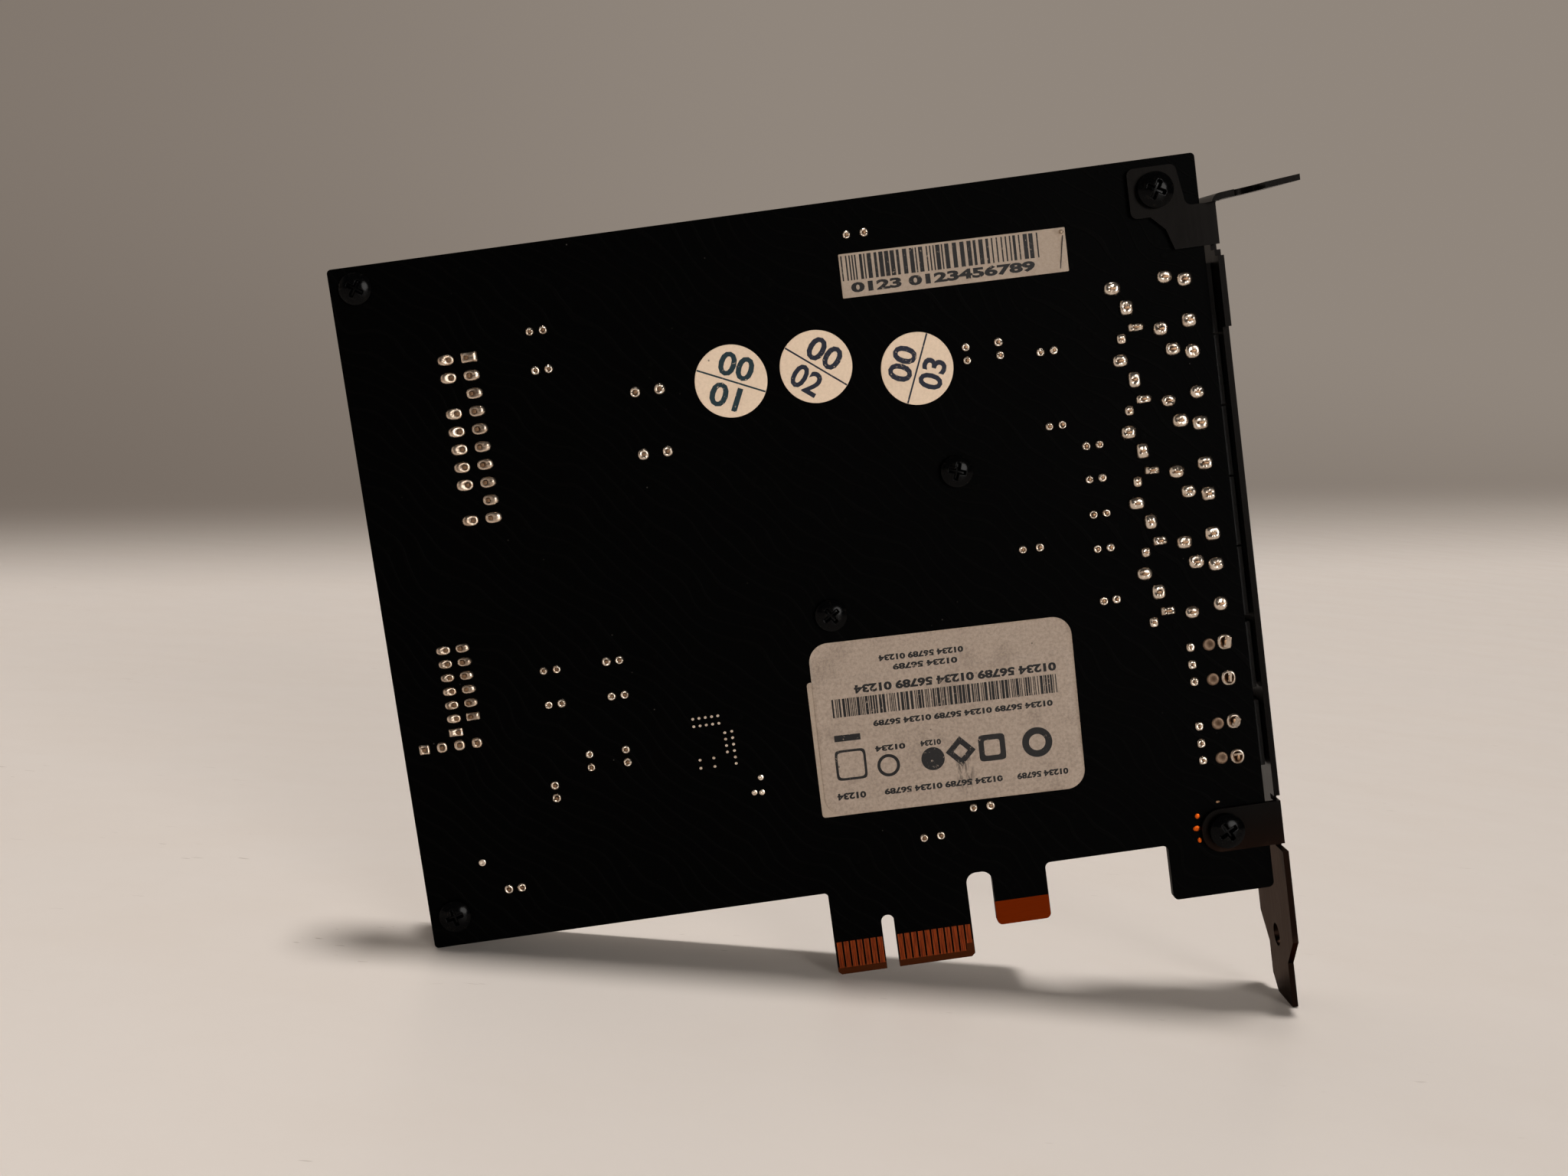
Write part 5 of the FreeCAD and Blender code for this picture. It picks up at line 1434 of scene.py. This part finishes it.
def cans(name, node):
    """Turned cans on the places of a node's solids: the profile, then rings over the top to the middle."""
    low, high = boxes_of(node)
    middle = ((low + high) / 2)[:, [0, 2]]
    radius = (high - low)[0, [0, 2]].max() / 2
    tall = (high - low)[:, 1].max()
    inner = np.linspace(0.80, 0.03, 16)
    share = np.concatenate([CAN_PROFILE[:, 0], inner])[:, None]
    rise = np.concatenate([CAN_PROFILE[:, 1], np.full(len(inner), CAN_TOP)])[:, None]
    cosine, sine = circle(CAN_AROUND)
    across = share * radius * cosine
    along = share * radius * sine
    press = cross_depth(across, along, 0.7 * radius, 0.07 * radius, 0.05 * radius) * (share < 0.82)
    points = np.stack([
        middle[:, 0, None, None] + across,
        low[:, 1, None, None] + tall * (rise - 0.02 * press)[None] + 0 * across,
        middle[:, 1, None, None] + along,
    ], axis=-1)
    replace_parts(ring_piece(name, points, "can_metal", CAN_CREASE), node)


cans("small_cans", "small_capacitors")
cans("medium_cans", "medium_capacitors")

# %% [markdown]
# ## Chip legs
# The chips that the shield leaves open stand on bent legs. A leg is a flat strip carried along a short
# path: out of the body, down, and along the board. The path is the same for all, so only its place and
# direction change.

# %% A bent leg
LEG_PATH = np.array([(-0.1, 0.55), (0.22, 0.55), (0.36, 0.48), (0.46, 0.12), (0.56, 0.06), (1.0, 0.06)])
LEG_SECTION = np.array([(-0.5, -1.0), (0.5, -1.0), (0.5, 1.0), (-0.5, 1.0)])
LEG_THICK = 0.06
LEG_CREASE = 30.0


def leg_row(low, high, per_side, pitch, sides):
    """Places and directions of legs along the named sides of a chip, per_side on each, about its middle."""
    middle = (low + high) / 2
    steps = (np.arange(per_side) - (per_side - 1) / 2) * pitch
    places = []
    ways = []
    for across, along in sides:
        reach = (high - low)[0] / 2 if across else (high - low)[2] / 2
        start = np.array([middle[0] + across * reach, middle[2] + along * reach])
        places.append(start + steps[:, None] * np.array([abs(along), abs(across)]))
        ways.append(np.tile([across, along], (per_side, 1)))
    return np.concatenate(places), np.concatenate(ways)


def legs(name, node, per_side, pitch, sides, width, scale):
    """Strips along the leg path for every chip of a node: a section is carried out from the chip's side."""
    rows = [leg_row(low, high, per_side, pitch, sides) for low, high in zip(*boxes_of(node))]
    places = np.concatenate([row[0] for row in rows])
    ways = np.concatenate([row[1] for row in rows]).astype(float)
    out = LEG_PATH[:, 0] * scale
    rise = LEG_PATH[:, 1] * scale
    side = np.stack([-ways[:, 1], ways[:, 0]], axis=1)
    spread = LEG_SECTION[:, 0] * width
    lift = LEG_SECTION[:, 1] * LEG_THICK * scale
    flat = places[:, None, None] + ways[:, None, None] * out[None, :, None, None]
    flat = flat + side[:, None, None] * spread[None, None, :, None]
    levels = PART_FACE + rise[:, None] + lift[None, :] + 0 * places[:, 0, None, None]
    points = np.stack([flat[..., 0], levels, flat[..., 1]], axis=-1)
    return ring_piece(name, points, "spring_metal", LEG_CREASE)


RIGHT, LEFT, TOP, LOW = (1, 0), (-1, 0), (0, 1), (0, -1)
legs("converter_legs", "converter_chip", 12, 0.5, [RIGHT, LEFT, TOP, LOW], 0.22, 0.9)
legs("amplifier_legs", "amplifier_chips", 4, 1.27, [TOP, LOW], 0.42, 1.0)
legs("regulator_legs", "regulators", 3, 2.3, [LOW], 0.75, 1.5)

# %% [markdown]
# ## The floor's plane
# The card leans on its low left corner and on the tip of the bracket's tongue. So the floor is a plane
# through those two points, and one more condition fixes its tilt: the row of the image where an endless
# floor would meet the sky.

# %% Floor plane
HORIZON_ROW = 518
FLOOR_GAP = 0.05
EDGE_STRIP = 0.5


def sight(column, row):
    """Direction from the camera through a pixel of the full image."""
    across = (column - IMAGE_WIDTH / 2) / FOCAL_PIXELS
    rise = (IMAGE_HEIGHT / 2 - row) / FOCAL_PIXELS
    return camera_ahead + across * camera_right + rise * camera_up


board_points = np.concatenate(solids_of("circuit_board"))
left_edge = board_points[board_points[:, 0] < box_mm("circuit_board")[0][0] + EDGE_STRIP]
left_foot = left_edge[left_edge[:, 2].argmin()]
bracket_points = np.concatenate(solids_of("bracket"))
right_foot = bracket_points[bracket_points[:, 2].argmin()]
floor_up = np.cross(right_foot - left_foot, sight(IMAGE_WIDTH / 2, HORIZON_ROW))
floor_up = floor_up / np.linalg.norm(floor_up) * np.sign(floor_up[2])
floor_level = min((left_foot @ floor_up), (bracket_points @ floor_up).min()) - FLOOR_GAP
print("floor up", np.round(floor_up, 3), "level", round(floor_level, 2))

# %% [markdown]
# ## The backdrop's line
# The floor turns up into the backdrop along a line that is given by two rows of the image, one at each
# side. A line of sight through each of them meets the floor in a point, and the two points give the line.

# %% Line between floor and backdrop
FAR_ROW_LEFT = 640
FAR_ROW_RIGHT = 672


def on_floor(column, row):
    """Where the line of sight through a pixel meets the floor."""
    way = sight(column, row)
    return CAMERA_PLACE + way * (floor_level - CAMERA_PLACE @ floor_up) / (way @ floor_up)


far_left = on_floor(0, FAR_ROW_LEFT)
far_right = on_floor(IMAGE_WIDTH, FAR_ROW_RIGHT)
along_wall = (far_right - far_left) / np.linalg.norm(far_right - far_left)
to_wall = np.cross(floor_up, along_wall)
print("far line from", np.round(far_left), "to", np.round(far_right))

# %% [markdown]
# ## Floor and backdrop
# In a studio both are one sheet of paper that hangs down and runs out over a table. So the stage is one
# profile, flat, then a quarter of a circle, then upright, carried sideways along the line. Each point also
# keeps how far it lies along the profile.

# %% Stage
COVE_RADIUS = 260.0
WALL_HEIGHT = 1600.0
FLOOR_DEPTH = 3000.0
STAGE_LEFT = -4000.0
STAGE_RIGHT = 12000.0

bend = np.linspace(0, np.pi / 2, 24)
path = np.concatenate([
    np.stack([np.linspace(-FLOOR_DEPTH, 0.0, 140), np.zeros(140)], axis=1),
    np.stack([COVE_RADIUS * np.sin(bend), COVE_RADIUS * (1 - np.cos(bend))], axis=1)[1:],
    np.stack([np.full(12, COVE_RADIUS), np.linspace(COVE_RADIUS, WALL_HEIGHT, 13)[1:]], axis=1),
])
sideways = np.linspace(STAGE_LEFT, STAGE_RIGHT, 160)
stage_grid = (far_left + sideways[None, :, None] * along_wall + path[:, 0, None, None] * to_wall
              + path[:, 1, None, None] * floor_up)
stage_points = stage_grid.reshape(-1, 3)
number = np.arange(len(stage_points)).reshape(stage_grid.shape[:2])
stage_quads = np.stack([number[:-1, :-1], number[:-1, 1:], number[1:, 1:], number[1:, :-1]], axis=-1)
stage_mesh = bpy.data.meshes.new("stage")
stage_mesh.from_pydata((stage_points * MM).tolist(), [], stage_quads.reshape(-1, 4).tolist())
stage_mesh.polygons.foreach_set("use_smooth", np.ones(len(stage_mesh.polygons), dtype=bool))
travel = np.concatenate([[0], np.cumsum(np.linalg.norm(np.diff(path, axis=0), axis=1))]) - FLOOR_DEPTH
point_values(stage_mesh, "travel", np.repeat(travel, len(sideways)))
stage = bpy.data.objects.new("stage", stage_mesh)
bpy.context.scene.collection.objects.link(stage)
print("stage:", len(stage_mesh.polygons), "faces")

# %% [markdown]
# ## Haze
# Far behind the card the table's end is out of focus, so floor and wall meet in a broad soft edge. Depth of
# field would blur it too, but it takes many more samples. Instead each point of the stage keeps how hazy it
# is, by how far it stands above the edge's row in the image. Near the camera there is no haze.

# %% Haze on the stage
EDGE_ROW_LEFT = 722
EDGE_ROW_RIGHT = 686
EDGE_SOFT = 66
HAZE_FROM = 400.0
HAZE_FULL = 700.0


def image_place(points):
    """Column and row of points in the full image, and how far they are ahead of the camera."""
    way = points - CAMERA_PLACE
    depth = way @ camera_ahead
    scale = FOCAL_PIXELS / np.maximum(depth, 1.0)
    column = IMAGE_WIDTH / 2 + (way @ camera_right) * scale
    return column, IMAGE_HEIGHT / 2 - (way @ camera_up) * scale, depth


column, row, depth = image_place(stage_points)
edge_row = EDGE_ROW_LEFT + (EDGE_ROW_RIGHT - EDGE_ROW_LEFT) * column / IMAGE_WIDTH
haze = np.clip(0.5 + (edge_row - row) / (2 * EDGE_SOFT), 0, 1)
haze = haze * np.clip((depth - HAZE_FROM) / (HAZE_FULL - HAZE_FROM), 0, 1)
point_values(stage_mesh, "haze", haze)
print("hazy points:", int((haze > 0).sum()), "of", len(haze))

# %% [markdown]
# ## Table and wall finish
# The table is pale, a little grimy and scratched. The wall behind lies in shade and out of focus. Its tone
# would change with every light, so what the camera sees of it, straight or mirrored, is a glow of its own,
# mixed in by the haze. For all other rays the wall stays as pale as the table and throws light back.

# %% Stage finish
FLOOR_COLOUR = rgb(0.66, 0.605, 0.562)
FLOOR_GRIME = rgb(0.55, 0.475, 0.415)
FLOOR_NICK = rgb(0.22, 0.16, 0.12)
WALL_LOW = rgb(0.162, 0.132, 0.109)
WALL_HIGH = rgb(0.280, 0.239, 0.203)

tabletop = Finish("stage_tabletop", Specular_IOR_Level=0.5)
grime = tabletop.noise(40.0, 5.0)
scratches = tabletop.noise(1.2, 2.0, tabletop.stretched(0.25, 1.0, 0.25)).fade(0.70, 0.74)
nicks = scratches * tabletop.noise(30.0).fade(0.55, 0.7)
pale = tabletop.mix(grime.fade(0.3, 0.8) * 0.25, FLOOR_COLOUR, FLOOR_GRIME)
pale = tabletop.mix(nicks * 0.6, pale, FLOOR_NICK)
tabletop.feed(Base_Color=pale, Roughness=0.3 + 0.2 * grime)
# The wall's glow is painted light and shade: darker near the floor, brighter up the wall and towards +X.
lighter = tabletop.attribute("travel").fade(0.0, 420.0) * 0.4 + tabletop.axis("X").fade(-650.0, 150.0) * 0.6
wall_glow = tabletop.node("ShaderNodeEmission", None, (tabletop.mix(lighter, WALL_LOW, WALL_HIGH), 1.0))
ray = {kind: tabletop.node("ShaderNodeLightPath", None, (), f"Is {kind} Ray")
       for kind in ("Camera", "Glossy", "Transmission")}
seen = ray["Camera"].larger(ray["Glossy"] + ray["Transmission"])
lit = Wire(tabletop, tabletop.shader.outputs[0])
hazy = tabletop.attribute("haze").fade(0.0, 1.0)
shown = tabletop.node("ShaderNodeMixShader", None, {0: hazy * seen, 1: lit, 2: wall_glow})
tabletop.join(tabletop.tree.nodes["Material Output"].inputs["Surface"], shown)
stage_mesh.materials.append(tabletop.material)
print("stage finish:", len(tabletop.tree.nodes), "nodes")

# %% [markdown]
# ## Light
# Three far lights stand for a bright room. The ceiling makes the dark shadow under the card, the light from
# behind the card throws a soft one towards the camera, and the low one in front keeps labels and solder
# clear. Area lamps could do this too, but near ones burn out the floor beside them. Each far light is a
# broad disc in the sky, so no shadow is hard. The world only fills the rest.

# %% Lamps
WARM_WHITE = (1.0, 0.97, 0.935)


def far_light(name, way, strength, disc):
    """A light as far as the sun, that shines along way from a disc so many degrees wide."""
    data = bpy.data.lights.new(name, "SUN")
    data.energy = strength
    data.angle = math.radians(disc)
    data.color = WARM_WHITE
    holder = bpy.data.objects.new(name, data)
    holder.rotation_euler = Vector(way).to_track_quat("-Z", "Y").to_euler()
    bpy.context.scene.collection.objects.link(holder)
    print(name, "-", strength, "over", disc, "degrees")


far_light("ceiling_light", -floor_up - 0.06 * to_wall, 2.65, 9.0)
far_light("light_behind", -0.8 * floor_up - 0.6 * to_wall, 0.4, 40.0)
far_light("light_in_front", -0.17 * floor_up + 0.85 * to_wall + 0.44 * along_wall, 1.75, 26.0)

# %% [markdown]
# ## World
# Light from the far lights bounces off the table and fills most shadows. The world adds the little that a
# room's walls would throw back, and the plain view transform keeps every colour as it was set.

# %% World
WORLD_COLOUR = rgb(1.0, 0.96, 0.92)
WORLD_STRENGTH = 0.06
world = bpy.data.worlds.new("room")
world.use_nodes = True
world.node_tree.nodes["Background"].inputs["Color"].default_value = WORLD_COLOUR
world.node_tree.nodes["Background"].inputs["Strength"].default_value = WORLD_STRENGTH
bpy.context.scene.world = world
bpy.context.scene.view_settings.view_transform = "Standard"
print("world:", WORLD_STRENGTH)

# %% [markdown]
# Nothing that was added may make the card larger.
